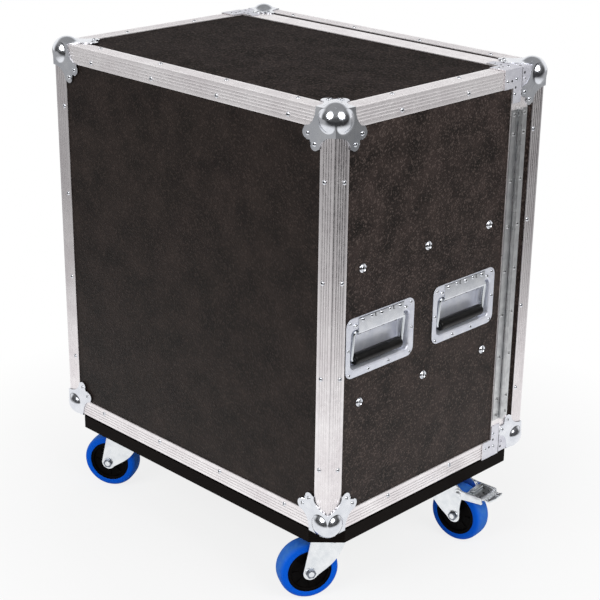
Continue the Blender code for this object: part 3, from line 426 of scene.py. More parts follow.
def frame_matrix(origin: Sequence[float], x: Sequence[float], y: Sequence[float],
                 z: Sequence[float]) -> Array:
    """A 4 x 4 matrix that takes local x, y, z onto three directions and its origin to a point.

    Args:
        origin: where the local origin goes.
        x: direction of local x.
        y: direction of local y.
        z: direction of local z.

    Returns:
        The matrix.
    """
    matrix = np.eye(4)
    matrix[:3, :4] = np.stack([x, y, z, origin], -1)
    return matrix


def shift(x: float, y: float, z: float) -> Array:
    """A matrix that only moves."""
    return frame_matrix((x, y, z), *np.eye(3))


CROSSED = frame_matrix((0, 0, 0), (0, 1, 0), (0, 0, 1), (1, 0, 0))


def moved(points: Array, matrix: Array) -> Array:
    """Points taken through a 4 x 4 matrix."""
    return points @ matrix[:3, :3].T + matrix[:3, 3]


def scaled(matrix: Array, *factors: float) -> Array:
    """A matrix that first stretches along its own axes."""
    return matrix @ np.diag([*factors, 1.0])


def facing(point: Sequence[float], normal: Sequence[float]) -> Array:
    """A matrix at a point whose Z looks along a normal.

    Args:
        point: where it stands.
        normal: direction of its Z, of any length.

    Returns:
        The matrix, its X level where it can be.
    """
    z = np.asarray(normal, float)
    z = z / np.linalg.norm(z)
    x = np.cross((0, 0, 1), z) if abs(z[2]) < 0.9 else np.cross((0, 1, 0), z)
    x /= np.linalg.norm(x)
    return frame_matrix(point, x, np.cross(z, x), z)


def at_height(points: Array, level: float) -> Array:
    """Flat points as points in space, all at one level."""
    return np.concatenate([points, np.full((*points.shape[:-1], 1), level)], -1)


def doubled(side: Profile) -> Array:
    """A profile that runs along one side and back along its mirror image across height 0."""
    side = np.array(side, float)
    return np.concatenate([side, side[::-1] * (1, -1)])


def spun(profile: Array, segments: int) -> Array:
    """Turn (radius, height) points about Z: rows are the profile, columns go round.

    Args:
        profile: the points.
        segments: places round the circle.

    Returns:
        A grid of points.
    """
    angle = np.linspace(0, 2 * math.pi, segments, endpoint=False)
    radius, height = profile[:, :1], profile[:, 1:]
    return np.stack([radius * np.cos(angle), radius * np.sin(angle), height + 0 * angle], -1)


@dataclass
class Skin:
    """Grids of points gathered into one mesh, in millimetres."""

    parts: list[tuple[Array, Array, Array, Array]] = field(default_factory=list)
    total: int = 0

    def add(self, points: Array, faces: Array, slots: Array | int = 0,
            wear: Array | float = 0.0) -> None:
        """Add loose points and faces that index them.

        Args:
            points: points in the row frame.
            faces: indices of each face's points.
            slots: index of the material, or one for each face.
            wear: one value, or one for each point.
        """
        self.parts.append((points, faces + self.total, np.broadcast_to(slots, len(faces)),
                           np.broadcast_to(wear, len(points))))
        self.total += len(points)

    def gathered(self) -> list[Array]:
        """Points, faces, and each face's slot and each point's wear, whole."""
        return [np.concatenate(column) for column in zip(*self.parts)]

    def grid(self, surface: Array, wrap_rows: bool = False, wrap_columns: bool = False, slot: int = 0,
             wear: Array | float = 0.0) -> None:
        """Add a grid: each cell between neighbouring rows and columns is one face.

        Args:
            surface: points, rows by columns by three.
            wrap_rows: join the last row to the first.
            wrap_columns: join the last column to the first.
            slot: index of the material.
            wear: one value, or one for each point.
        """
        rows, columns = surface.shape[:2]
        index = np.arange(rows * columns).reshape(rows, columns)
        if wrap_rows:
            index = np.concatenate([index, index[:1]])
        if wrap_columns:
            index = np.concatenate([index, index[:, :1]], 1)
        corners = [index[:-1, :-1], index[:-1, 1:], index[1:, 1:], index[1:, :-1]]
        self.add(surface.reshape(-1, 3), np.stack(corners, -1).reshape(-1, 4), slot, wear)

    def cap(self, ring: Array, slot: int = 0) -> None:
        """Close a ring of points with a fan to its middle.

        Args:
            ring: the points.
            slot: index of the material.
        """
        middle = np.broadcast_to(ring.mean(0), ring.shape)
        self.grid(np.stack([ring, middle]), wrap_columns=True, slot=slot)

    def turned(self, profile: Array, segments: int, matrix: Array, slot: int = 0, closed: bool = False,
               wear: Array | None = None) -> None:
        """Add a profile of (radius, height) turned about the matrix's own Z axis.

        Args:
            profile: the points.
            segments: places round the circle.
            matrix: takes the shape into the row frame.
            slot: index of the material.
            closed: join the profile's last point to its first.
            wear: one value for each point of the profile.
        """
        surface = moved(spun(np.asarray(profile, float), segments), matrix)
        value = 0.0 if wear is None else np.repeat(wear, segments)
        self.grid(surface, wrap_rows=closed, wrap_columns=True, slot=slot, wear=value)

    def press(self, outline: Array, thickness: float, matrix: Array, edge: float = 0.5, rows: int = 8,
              rise: Callable[[Array, Array], Array] | None = None) -> None:
        """Add a flat pressing whose outline is star-shaped about its middle.

        Each ring is middle + s (outline - middle), with s from 0 to 1 on the upper face and back
        to 0 on the lower one. The height is half the sheet, less a quarter round at the edge,
        plus rise.

        Args:
            outline: ring of (x, y) points.
            thickness: sheet thickness.
            matrix: takes the pressing into the row frame.
            edge: radius of the round along the outline.
            rows: rings on each face.
            rise: height of the pressed shape over (x, y).
        """
        middle = outline.mean(0)
        arm = outline - middle
        edge = min(edge, thickness / 2)
        turn = np.radians((0, 30, 60, 90))
        shrink = np.concatenate([1 - np.linspace(0, 1, rows, endpoint=False), np.zeros(4)])[:, None]
        inset = edge * np.concatenate([np.ones(rows), 1 - np.sin(turn)])[:, None]
        level = thickness / 2 - edge * np.concatenate([np.zeros(rows), 1 - np.cos(turn)])[:, None]
        flat = middle + arm * ((1 - inset / np.linalg.norm(arm, axis=1)) * (1 - shrink))[..., None]
        upper = np.concatenate([flat, np.broadcast_to(level, flat.shape[:2])[..., None]], -1)
        surface = np.concatenate([upper, upper[::-1] * (1, 1, -1)])
        if rise is not None:
            surface[..., 2] += rise(surface[..., 0], surface[..., 1])
        self.grid(moved(surface, matrix), wrap_columns=True)

    def copies(self, part: "Skin", matrices: Iterable[Array]) -> None:
        """Add another skin once for each matrix.

        Args:
            part: the other skin.
            matrices: where each copy goes.
        """
        points, *rest = part.gathered()
        for matrix in matrices:
            self.add(moved(points, matrix), *rest)

    def build(self, name: str, materials: Sequence[Material], body: str, slot: Slot,
              hides: Sequence[str] = (), smooth_deg: float = 40, outward: bool = True) -> Piece:
        """Make the mesh object and ride it on its body.

        Args:
            name: piece name.
            materials: materials in the order of the slot indices.
            body: CAD body that it moves with.
            slot: the record's material slot; not used.
            hides: CAD nodes that it stands for.
            smooth_deg: angle above which an edge stays sharp.
            outward: work the normals out again after merging, for closed shapes.

        Returns:
            The new object.
        """
        points, faces, slots, wear = self.gathered()
        mesh = bpy.data.meshes.new(name)
        mesh.from_pydata((points * MM).tolist(), [], faces.tolist())
        mesh.polygons.foreach_set("material_index", slots.astype(np.int32))
        if wear.any():
            layer = mesh.attributes.new("wear", "FLOAT", "POINT")
            layer.data.foreach_set("value", wear.astype(np.float32))
        shape = bmesh.new()
        shape.from_mesh(mesh)
        bmesh.ops.remove_doubles(shape, verts=shape.verts, dist=0.002 * MM)
        if outward:
            bmesh.ops.recalc_face_normals(shape, faces=shape.faces)
        shape.to_mesh(mesh)
        shape.free()
        for material in materials:
            mesh.materials.append(material)
        mesh.shade_smooth()
        mesh.set_sharp_from_angle(angle=math.radians(smooth_deg))
        return attach(bpy.data.objects.new(name, mesh), body, hides)


def attach(piece: Piece, body: str, hides: Sequence[str] = ()) -> Piece:
    """Link a finished piece, ride it and report it.

    Args:
        piece: the object.
        body: CAD body that it moves with.
        hides: CAD nodes that it stands for.

    Returns:
        The same piece.
    """
    bpy.context.scene.collection.objects.link(piece)
    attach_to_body(piece, body)
    if hides:
        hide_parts(*hides)
    LOG.info("%s rides on %s, %d faces", piece.name, body, len(piece.data.polygons))
    return piece


def dress(node: Piece, material: Material) -> None:
    """Give a CAD node its finish."""
    node.data.materials.clear()
    node.data.materials.append(material)


def round_edges(piece: Piece, width: float, angle_deg: float = 40) -> None:
    """Round every edge sharper than an angle, in two steps, and keep the flats looking flat.

    Args:
        piece: the object.
        width: how much is rounded off, in millimetres.
        angle_deg: the angle.
    """
    bevel = piece.modifiers.new("round", "BEVEL")
    bevel.width = width * MM
    bevel.segments = 2
    bevel.limit_method = "ANGLE"
    bevel.angle_limit = math.radians(angle_deg)
    bevel.use_clamp_overlap = True
    piece.modifiers.new("flats", "WEIGHTED_NORMAL").keep_sharp = True


def thicken(piece: Piece, wall: float, edge: float = 0.35) -> None:
    """Give a pressed sheet its wall, behind its faces, and round its cut edges.

    Args:
        piece: the object.
        wall: the sheet's thickness in millimetres.
        edge: how much is rounded off, in millimetres.
    """
    sheet = piece.modifiers.new("wall", "SOLIDIFY")
    sheet.thickness = wall * MM
    sheet.offset = -1
    round_edges(piece, edge, 55)


def softened(node: Piece, name: str, materials: Sequence[Material], body: str,
             width: float = 0.3, second: Callable[[Array], Array] | None = None) -> Piece:
    """Stand in for a CAD node with the same shape, its edges rounded.

    Args:
        node: the CAD node, whose mesh is copied and merged.
        name: piece name.
        materials: its finishes.
        body: CAD body that it moves with.
        width: how much is rounded off each edge, in millimetres.
        second: picks the faces that take the second finish, from their middles in millimetres.

    Returns:
        The new piece.
    """
    mesh = node.data.copy()
    mesh.name = name
    shape = bmesh.new()
    shape.from_mesh(mesh)
    bmesh.ops.remove_doubles(shape, verts=shape.verts, dist=0.01 * MM)
    bmesh.ops.dissolve_limit(shape, angle_limit=math.radians(1), verts=shape.verts, edges=shape.edges)
    shape.to_mesh(mesh)
    shape.free()
    mesh.materials.clear()
    for material in materials:
        mesh.materials.append(material)
    middles = np.zeros(len(mesh.polygons) * 3)
    mesh.polygons.foreach_get("center", middles)
    chosen = np.zeros(len(mesh.polygons), np.int32)
    if second is not None:
        chosen[:] = second(middles.reshape(-1, 3) / MM)
    mesh.polygons.foreach_set("material_index", chosen)
    mesh.shade_smooth()
    mesh.set_sharp_from_angle(angle=math.radians(30))
    piece = attach(bpy.data.objects.new(name, mesh), body, [node.name])
    round_edges(piece, width)
    return piece


def ribbon(outer: Array, inner: Array, start: float, end: float, matrix: Array, skin: Skin,
           slot: int = 0) -> None:
    """Add a bar whose section is the strip between two lines of paired points.

    Args:
        outer: (x, y) points of the section's outer line.
        inner: the point facing each of them.
        start: where the bar begins along the matrix's Z.
        end: where it ends.
        matrix: takes the section into the row frame.
        skin: mesh that it is added to.
        slot: index of the material.
    """
    def at(line: Array, level: float) -> Array:
        """The line at a level along the bar."""
        return moved(np.concatenate([line, np.full((len(line), 1), level)], 1), matrix)

    loop = np.concatenate([outer, inner[::-1]])
    skin.grid(np.stack([at(loop, start), at(loop, end)]), wrap_columns=True, slot=slot)
    for level in (start, end):
        skin.grid(np.stack([at(outer, level), at(inner, level)]), slot=slot)


def tube(path: Array, radius: float, sides: int, closed: bool = False) -> Array:
    """Carry a circle along a path: each ring is square to the path's direction there.

    Args:
        path: points of the centre line.
        radius: of the circle.
        sides: points round the circle.
        closed: the path joins its own start.

    Returns:
        A grid whose rows follow the path.
    """
    if closed:
        ahead = np.roll(path, -1, 0) - np.roll(path, 1, 0)
    else:
        ahead = np.gradient(path, axis=0)
    ahead /= np.linalg.norm(ahead, axis=1, keepdims=True)
    normal = np.linalg.svd(path - path.mean(0))[2][2]
    across = np.cross(ahead, normal)
    across /= np.linalg.norm(across, axis=1, keepdims=True)
    over = np.cross(ahead, across)
    angle = np.linspace(0, 2 * math.pi, sides, endpoint=False)[None, :, None]
    return path[:, None] + radius * (np.cos(angle) * across[:, None] + np.sin(angle) * over[:, None])


@dataclass(frozen=True)
class Case:
    """Outer faces of the case's aluminium in the row frame, in millimetres."""

    left: float
    right: float
    back: float
    front: float
    low: float
    high: float
    split: float

    @classmethod
    def from_frame(cls) -> "Case":
        """Read the faces from the CAD nodes' boxes.

        Returns:
            The case.
        """
        low, high = (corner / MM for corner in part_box("back_edge_frame"))
        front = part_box("door_edge_frame")[0].y / MM
        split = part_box("door_rim")[1].y / MM + GAP
        return cls(low.x, high.x, high.y, front, low.z, high.z, split)

    def corner(self, side: int, door: bool, top: bool) -> tuple[Array, Array]:
        """One of the eight corners.

        Args:
            side: -1 for left, 1 for right.
            door: at the door's end.
            top: at the top.

        Returns:
            The corner point, and the three signs that lead into the case from it.
        """
        point = (self.right if side > 0 else self.left, self.front if door else self.back,
                 self.high if top else self.low)
        return np.array(point), np.array([-side, 1 if door else -1, -1 if top else 1], float)

    def frame_edges(self, door: bool) -> Iterable[tuple[Array, Array, Array, Array, float]]:
        """The two uprights and two cross edges of the back's frame or the door's.

        Args:
            door: the door's frame, not the back's.

        Yields:
            An edge's corner, the directions of its two flanges and of its run, and its length.
        """
        for side, _ in SIDES:
            corner, into = self.corner(side, door, False)
            x, y, z = np.diag(into)
            yield corner, y, x, z, self.high - self.low
        for top, _ in LEVELS:
            corner, into = self.corner(-1, door, top)
            x, y, z = np.diag(into)
            yield corner, y, z, x, self.right - self.left

    def depth_edges(self) -> Iterable[tuple[Array, Array, Array, Array, str]]:
        """The four edges from back to front: corner, directions of flanges and run, and name.

        Yields:
            One edge at a time.
        """
        for top, level in LEVELS:
            for side, name in SIDES:
                corner, into = self.corner(side, False, top)
                x, y, z = np.diag(into)
                yield corner, x, z, y, f"{level}_{name}"


@dataclass
class Rivet:
    """Pop rivet: a low dome with a pit where its stem broke off, the pit painted dark as shade."""

    radius: float = 3.9
    height: float = 1.7
    skirt: float = 0.4
    pit: float = 1.3
    pit_deep: float = 0.9
    sides: int = 12

    def skin(self) -> Skin:
        """Head about +Z, standing on z = 0: a dome of few sides, then the pit.

        Returns:
            The rivet.
        """
        across = np.radians((0, 28, 52, 72))
        dome = np.stack([self.radius * np.cos(across), self.height * np.sin(across)], -1)
        head = np.concatenate([[[self.radius, -self.skirt]], dome, [[self.pit, self.height]]])
        floor = self.height - self.pit_deep
        part = Skin()
        pit = [[self.pit, self.height], [self.pit * 0.75, floor], [0, floor]]
        part.turned(head, self.sides, np.eye(4))
        # The pit takes the second material, painted shade.
        part.turned(pit, self.sides, np.eye(4), 1)
        return part


@dataclass
class CupScrew:
    """Wood screw in a turned cup washer, in the side panels. Both profiles are (radius, height)."""

    washer: Profile = ((7.6, -0.3), (7.6, 0.3), (6.9, 1.2), (5.8, 2.1), (4.9, 1.8), (4.4, 1.0),
                       (4.1, 1.4), (2.64, 1.8), (1.7, 1.9))
    drive: Profile = ((1.7, 1.9), (1.1, 0.5), (0, 0.3))

    def skin(self) -> Skin:
        """Washer about +Z: a rounded ring that falls to the screw's head, with a drive painted dark as
        shade.

        Returns:
            The screw.
        """
        part = Skin()
        part.turned(self.washer, 20, np.eye(4))
        # The drive takes the second material, painted shade.
        part.turned(self.drive, 20, np.eye(4), 1)
        return part


@dataclass
class Punch:
    """Punched hole seen from outside: a shallow disc painted dark as the hole's shade, stretched to an
    oval where asked.
    """

    lift: float = 0.12

    def skin(self) -> Skin:
        """Disc of radius 1 about +Z, a lift above z = 0.

        Returns:
            The hole.
        """
        part = Skin()
        # The disc takes the second material, painted shade.
        part.turned([[0, -0.2], [1, -0.2], [1, self.lift], [0.9, self.lift], [0, 0]], 14, np.eye(4), 1)
        return part


@dataclass
class Edging:
    """Ribbed aluminium angles along the twelve edges of the case."""

    case: Case
    finishes: Finishes
    wall: float = 1.5
    flange: float = 30.0
    door_flange: float = 28.0
    rib_first: float = 7.0
    rib_pitch: float = 5.0
    rib_half: float = 1.5
    rib_depth: float = 0.45
    nose: float = 1.6
    tip: Profile = ((0, 0.7), (0.15, 0.2), (0.6, 0))
    rim_flange: float = 21.0
    shadow_gap: float = 1.9

    def wing(self, length: float) -> tuple[Array, Array]:
        """One flange from its tip to the nose: outer depths and the inner face behind them.

        The flutes are raised cosines, rib_depth deep, every rib_pitch from rib_first.

        Args:
            length: the flange's width.

        Returns:
            Outer line and inner line, both (along, depth).
        """
        steps = np.linspace(1, -1, 7) * self.rib_half
        middles = self.rib_first + self.rib_pitch * np.arange(3, -1, -1)
        along = (middles[:, None] + steps).ravel()
        depth = np.tile(self.rib_depth * (1 + np.cos(np.pi * steps / self.rib_half)) / 2, 4)
        back, worn = np.transpose(self.tip)
        along = np.concatenate([length - back, along, [self.nose + 0.4]])
        depth = np.concatenate([worn, depth, [0]])
        outer = np.stack([along, depth], -1)
        inner = np.stack([np.maximum(along, self.wall), np.full(len(along), self.wall)], -1)
        return outer, inner

    def section(self, first: float, second: float) -> tuple[Array, Array]:
        """Section of an angle: x runs along the first flange and y along the second.

        Args:
            first: width of the first flange.
            second: width of the second.

        Returns:
            Outer line and inner line.
        """
        outer_a, inner_a = self.wing(first)
        outer_b, inner_b = self.wing(second)
        nose = arc((self.nose, self.nose), self.nose, 270, 180, 6)
        inner_nose = np.full((6, 2), self.wall)
        outer = np.concatenate([outer_a, nose, outer_b[::-1, ::-1]])
        inner = np.concatenate([inner_a, inner_nose, inner_b[::-1, ::-1]])
        return outer, inner

    def bar(self, skin: Skin, corner: Array, first: Array, second: Array, flanges: Sequence[float],
            run: Array, span: Sequence[float]) -> None:
        """Add one angle to a skin.

        Args:
            skin: mesh that it joins.
            corner: point where the angle's nose line starts.
            first: direction of its first flange.
            second: direction of its second flange.
            flanges: their two widths.
            run: direction along the bar.
            span: where it starts and ends along the run.
        """
        matrix = frame_matrix(corner, first, second, run)
        ribbon(*self.section(*flanges), span[0], span[1], matrix, skin, int(np.abs(run).argmax()))

    def build(self) -> None:
        """Frames of the back and the door, and the four edges between them."""
        clear = self.flange + GAP
        for door, group, body in ENDS:
            skin = Skin()
            deep = self.door_flange if door else self.flange
            for corner, first, second, run, length in self.case.frame_edges(door):
                self.bar(skin, corner, first, second, (deep, self.flange), run, (clear, length - clear))
            skin.build(f"{group}_edging", self.finishes.bars, body, Slot.EDGING,
                       [f"{group}_edge_frame"], 25)
        near = self.case.back - self.case.split - self.rim_flange - self.shadow_gap
        for corner, first, second, run, name in self.case.depth_edges():
            skin = Skin()
            self.bar(skin, corner, first, second, (self.flange, self.flange), run, (clear, near))
            skin.build(f"{name}_edging", self.finishes.bars, "case", Slot.EDGING, [f"{name}_edge"], 25)


@dataclass
class BallCorner:
    """Pressed steel ball corner: a dome set in three riveted plates, arched over the edging."""

    case: Case
    finishes: Finishes
    plate: float = 1.8
    wall: float = 1.5
    inset: float = 15.15
    radius: float = 24.8
    blend: float = 0.8
    tip: float = 3.0
    arch_start: float = 38.5
    arch_rise: float = 21.5
    arch_wide: float = 30.0
    lobe_at: Pair = (55.5, 39.5)
    lobe: float = 8.5
    lobe_arc: Pair = (-40, 92)
    dip: float = 1.6
    edge_points: tuple[int, int, int] = (34, 14, 16)
    spine: Pair = (36, 44)
    columns: int = 22
    rivets: Profile = ((54.0, 40.0), (40.0, 54.0))

    def flat(self, reach: float) -> Array:
        """Flat plate as a grid: each row goes from the edge to the diagonal, and on to the other edge.

        The edge runs out along the ridge, round a quarter ellipse that arches over the flutes, and
        round a lobe that carries the rivets to the dip between the lobes. The first lobe stops at
        reach.

        Args:
            reach: how far from the corner the first lobe may come.

        Returns:
            The plate's grid of points.
        """
        ridge_count, arch_count, lobe_count = self.edge_points
        ridge = np.linspace((-self.plate, -self.plate), (self.arch_start, -self.plate), ridge_count,
                            endpoint=False)
        angle = np.radians(np.linspace(0, 90, arch_count))
        arch = np.stack([self.arch_start + self.arch_rise * (1 - np.cos(angle)),
                         (self.arch_wide + self.plate) * np.sin(angle) - self.plate], -1)
        lobe = arc(self.lobe_at, self.lobe, *self.lobe_arc, lobe_count)
        dip = sum(self.lobe_at) / 2 + self.dip
        edge = np.concatenate([ridge, arch, lobe, [[dip, dip]]])
        turns = (0, ridge_count, ridge_count + arch_count, len(edge) - 1)
        spine = np.interp(np.arange(len(edge)), turns, (-self.plate, *self.spine, dip))
        steps = np.linspace(0, 1, self.columns)[:, None]
        half = edge[:, None] + (spine[:, None, None] - edge[:, None]) * steps
        first = np.stack([np.minimum(half[..., 0], reach), half[..., 1]], -1)
        return at_height(np.concatenate([first, half[:, -2::-1, ::-1]], 1), -self.plate)

    def pressed(self, plate: Array) -> Array:
        """Press one plate's flat points into shape, in the corner's own axes.

        A point stands on the larger of its distance from the ball's middle and the ball's radius,
        joined by a smooth maximum: log-sum-exp with the blend as its width. Nearer the corner than
        the ball's middle there is only the ball.

        Args:
            plate: the flat grid.

        Returns:
            The pressed grid.
        """
        arm = plate - self.inset
        distance = np.linalg.norm(arm, axis=-1)
        outside = ease((arm[..., :2].max(-1) + self.tip) / self.tip)
        proud = self.blend * np.logaddexp(0, (distance - self.radius) / self.blend)
        return self.inset + arm * ((self.radius + outside * proud) / distance)[..., None]

    def skin(self, reach: float) -> Skin:
        """Three plates in the corner's own axes, welded along their ridges.

        Args:
            reach: how far from the corner two of the plates may come.

        Returns:
            The corner.
        """
        plate, plain = self.flat(reach), self.flat(FAR)
        part = Skin()
        part.grid(self.pressed(plate[..., [1, 0, 2]]))
        part.grid(self.pressed(plate)[..., [2, 0, 1]])
        part.grid(self.pressed(plain)[..., [1, 2, 0]])
        return part

    def build(self) -> None:
        """Four corners at the back and four on the door."""
        for door, group, body in ENDS:
            reach = self.case.split - self.case.front - 2 * GAP if door else FAR
            part = self.skin(reach)
            for top, level in LEVELS:
                for side, name in SIDES:
                    self.place(part, door, side, top, f"{group}_{level}_{name}_ball_corner", body)

    def place(self, part: Skin, door: bool, side: int, top: bool, node: str, body: str) -> None:
        """Mirror the corner into its place, give the sheet its wall, and rivet it.

        Args:
            part: the corner in its own axes.
            door: at the door's end.
            side: -1 for left, 1 for right.
            top: at the top.
            node: the CAD node that it stands for.
            body: CAD body that it moves with.
        """
        corner, into = self.case.corner(side, door, top)
        skin = Skin()
        skin.copies(part, [frame_matrix(corner, *np.diag(into))])
        piece = skin.build(node.replace("ball_corner", "corner"), [self.finishes.bright_zinc], body,
                           Slot.STEEL, [node], 50, outward=False)
        self.face_out(piece, corner + into * self.inset)
        thicken(piece, self.wall)
        studs = Skin()
        rivet = Rivet().skin()
        for k in range(3):
            for a, b in self.rivets:
                spot = np.roll((a, b, -self.plate), -k)
                studs.copies(rivet, [facing(corner + into * spot, -into * np.roll((0, 0, 1), -k))])
        studs.build(node.replace("ball_corner", "rivets"), self.finishes.studs, body, Slot.STEEL)

    @staticmethod
    def face_out(piece: Piece, middle: Array) -> None:
        """Turn every face of a thin shell away from a point inside it.

        Args:
            piece: the shell.
            middle: the point, in millimetres.
        """
        shape = bmesh.new()
        shape.from_mesh(piece.data)
        bmesh.ops.recalc_face_normals(shape, faces=shape.faces)
        inside = Vector((middle * MM).tolist())
        shape.faces.ensure_lookup_table()
        outward = sum((face.calc_center_median() - inside).dot(face.normal) * face.calc_area()
                      for face in shape.faces)
        if outward < 0:
            bmesh.ops.reverse_faces(shape, faces=shape.faces)
        shape.to_mesh(piece.data)
        shape.free()


@dataclass
class EdgeRivets:
    """Pop rivets along the edging, and the cup-washered screws that hold the shelves."""

    case: Case
    finishes: Finishes
    inset: float = 21.0
    wide: tuple[float, ...] = (96.0, 249.5, 403.0, 556.0)
    tall: tuple[float, ...] = (109.5, 262.5, 416.5, 571.0)
    deep: tuple[float, ...] = (141.0, 295.0)
    screws_back: tuple[float, ...] = (67.0, 217.0, 368.0)
    screws_up: tuple[float, ...] = (210.0, 429.0)
    panel_depth: float = 1.8

    def along(self, corner: Array, first: Array, second: Array, run: Array,
              steps: Sequence[float]) -> list[Array]:
        """Places on both flanges of an edge: corner + inset along a flange + a step along the run.

        Args:
            corner: where the edge starts.
            first: direction of one flange.
            second: direction of the other.
            run: direction of the edge.
            steps: distances along the run.

        Returns:
            A matrix for each place, its Z out of the case.
        """
        places = []
        for flange, other in ((first, second), (second, first)):
            for step in steps:
                places.append(facing(corner + flange * self.inset + run * step, -other))
        return places

    def build(self) -> None:
        """Rivets of the body and of the door, then the screws."""
        rivet = Rivet().skin()
        for door, _, body in ENDS:
            skin = Skin()
            for corner, first, second, run, _ in self.case.frame_edges(door):
                steps = self.tall if run[2] else self.wide
                skin.copies(rivet, self.along(corner, first, second, run, steps))
            if not door:
                for corner, first, second, run, _ in self.case.depth_edges():
                    skin.copies(rivet, self.along(corner, first, second, run, self.deep))
            skin.build(f"{body}_edge_rivets", self.finishes.studs, body, Slot.STEEL)
        for side, name in SIDES:
            corner, into = self.case.corner(side, False, False)
            places = []
            for back in self.screws_back:
                for up in self.screws_up:
                    places.append(facing(corner + into * (self.panel_depth, back, up), (side, 0, 0)))
            skin = Skin()
            skin.copies(CupScrew().skin(), places)
            skin.build(f"{name}_shelf_screws", self.finishes.studs, "case", Slot.STEEL)


@dataclass
class Joint:
    """Lid-location rims with the body's corner braces, and the bright tabs under the door's corners."""

    case: Case
    nodes: dict
    finishes: Finishes
    brace_rivets: Profile = ((36.6, 17.4), (14.2, 16.0), (16.6, 40.2))
    brace_rivet_scale: Triple = (0.85, 0.85, 0.9)
    brace_holes: Profile = ((25.8, 17.8), (15.8, 29.2))
    brace_hole_size: Triple = (2.0, 2.0, 1)
    brace_proud: float = 0.1
    tab_from: float = 30.0
    tab_to: float = 60.9
    tab_seam: float = 62.6
    tab_off: float = 31.0
    tab_top: float = 1.1
    tab_nose: float = 0.4
    tab_rivet: Pair = (55.5, 18.0)
    tab_rivet_scale: Triple = (0.9, 0.9, 0.9)
    tab_hole: Pair = (56.0, 8.5)
    tab_hole_size: Triple = (2.2, 2.2, 1)
    seam_shade_thickness: float = 0.25
    outside: float = 1.8

    def build(self) -> None:
        """Rims, tabs, rivets and holes."""
        bar, brace = self.finishes.aluminium, self.finishes.brace
        softened(self.nodes["body_rim"], "body_joint_rim", [bar, brace], "case", 0.25,
                 self.is_brace)
        softened(self.nodes["door_rim"], "door_joint_rim", [bar], "door", 0.25)
        braces, tabs = Skin(), Skin()
        rivet, punch = Rivet().skin(), Punch().skin()
        spots = [(rivet, spot, self.brace_rivet_scale) for spot in self.brace_rivets]
        # The braces' holes are discs painted dark as shade.
        spots += [(punch, spot, self.brace_hole_size) for spot in self.brace_holes]
        for side, _ in SIDES:
            for top, _ in LEVELS:
                corner, into = self.case.corner(side, False, top)
                seam = np.array([corner[0], self.case.split, corner[2]])
                x, y, z = np.diag((into[0], 1, into[2]))
                for out, off in ((x, z), (z, x)):
                    for part, (behind, across), factors in spots:
                        place = seam + y * behind + off * across - out * self.outside
                        braces.copies(part, [scaled(facing(place, -out), *factors)])
                self.tab(tabs, *self.case.corner(side, True, top), rivet, punch)
        braces.build("brace_rivets", self.finishes.studs, "case", Slot.STEEL)
        tabs.build("door_corner_tabs", [brace, self.finishes.shadow], "door", Slot.STEEL, smooth_deg=30)

    def is_brace(self, middles: Array) -> Array:
        """Faces whose middles stand proud of the case's outer faces.

        Args:
            middles: a row for each face, in millimetres.

        Returns:
            True or False for each face.
        """
        proud = self.brace_proud
        x, z = middles[:, 0], middles[:, 2]
        wide = (x < self.case.left - proud) | (x > self.case.right + proud)
        return wide | (z < self.case.low - proud) | (z > self.case.high + proud)

    def tab(self, skin: Skin, corner: Array, into: Array, rivet: Skin, punch: Skin) -> None:
        """One angle of sheet over the door's rim, with a rivet and a hole painted dark as shade in each
        wing, and a dark strip of painted shade in the seam's gap beyond it.

        Args:
            skin: mesh that it joins.
            corner: the case's corner.
            into: signs that lead into the case.
            rivet: a rivet's skin.
            punch: a hole's skin.
        """
        x, y, z = np.diag(into)
        top, low, off, nose = -self.tab_top, -GAP, self.tab_off, self.tab_nose
        outer = np.concatenate([[[off, top]], arc((nose, nose), nose - top, 270, 180, 6), [[top, off]]])
        inner = np.concatenate([[[off, low]], np.full((6, 2), low), [[low, off]]])
        matrix = frame_matrix(corner, x, z, y)
        ribbon(outer, inner, self.tab_from, self.tab_to, matrix, skin)
        line = np.array([[off, low], [low, low], [low, off]])
        # A strip painted dark in the seam's gap beyond the tab's end, as painted shade.
        ribbon(line, line + self.seam_shade_thickness, self.tab_to, self.tab_seam, matrix, skin, 1)
        spots = ((rivet, self.tab_rivet, self.tab_rivet_scale),
                 (punch, self.tab_hole, self.tab_hole_size))
        for out, across in ((x, z), (z, x)):
            for part, (along, off_line), factors in spots:
                place = corner + y * along + across * off_line + out * top
                skin.copies(part, [scaled(facing(place, -out), *factors)])


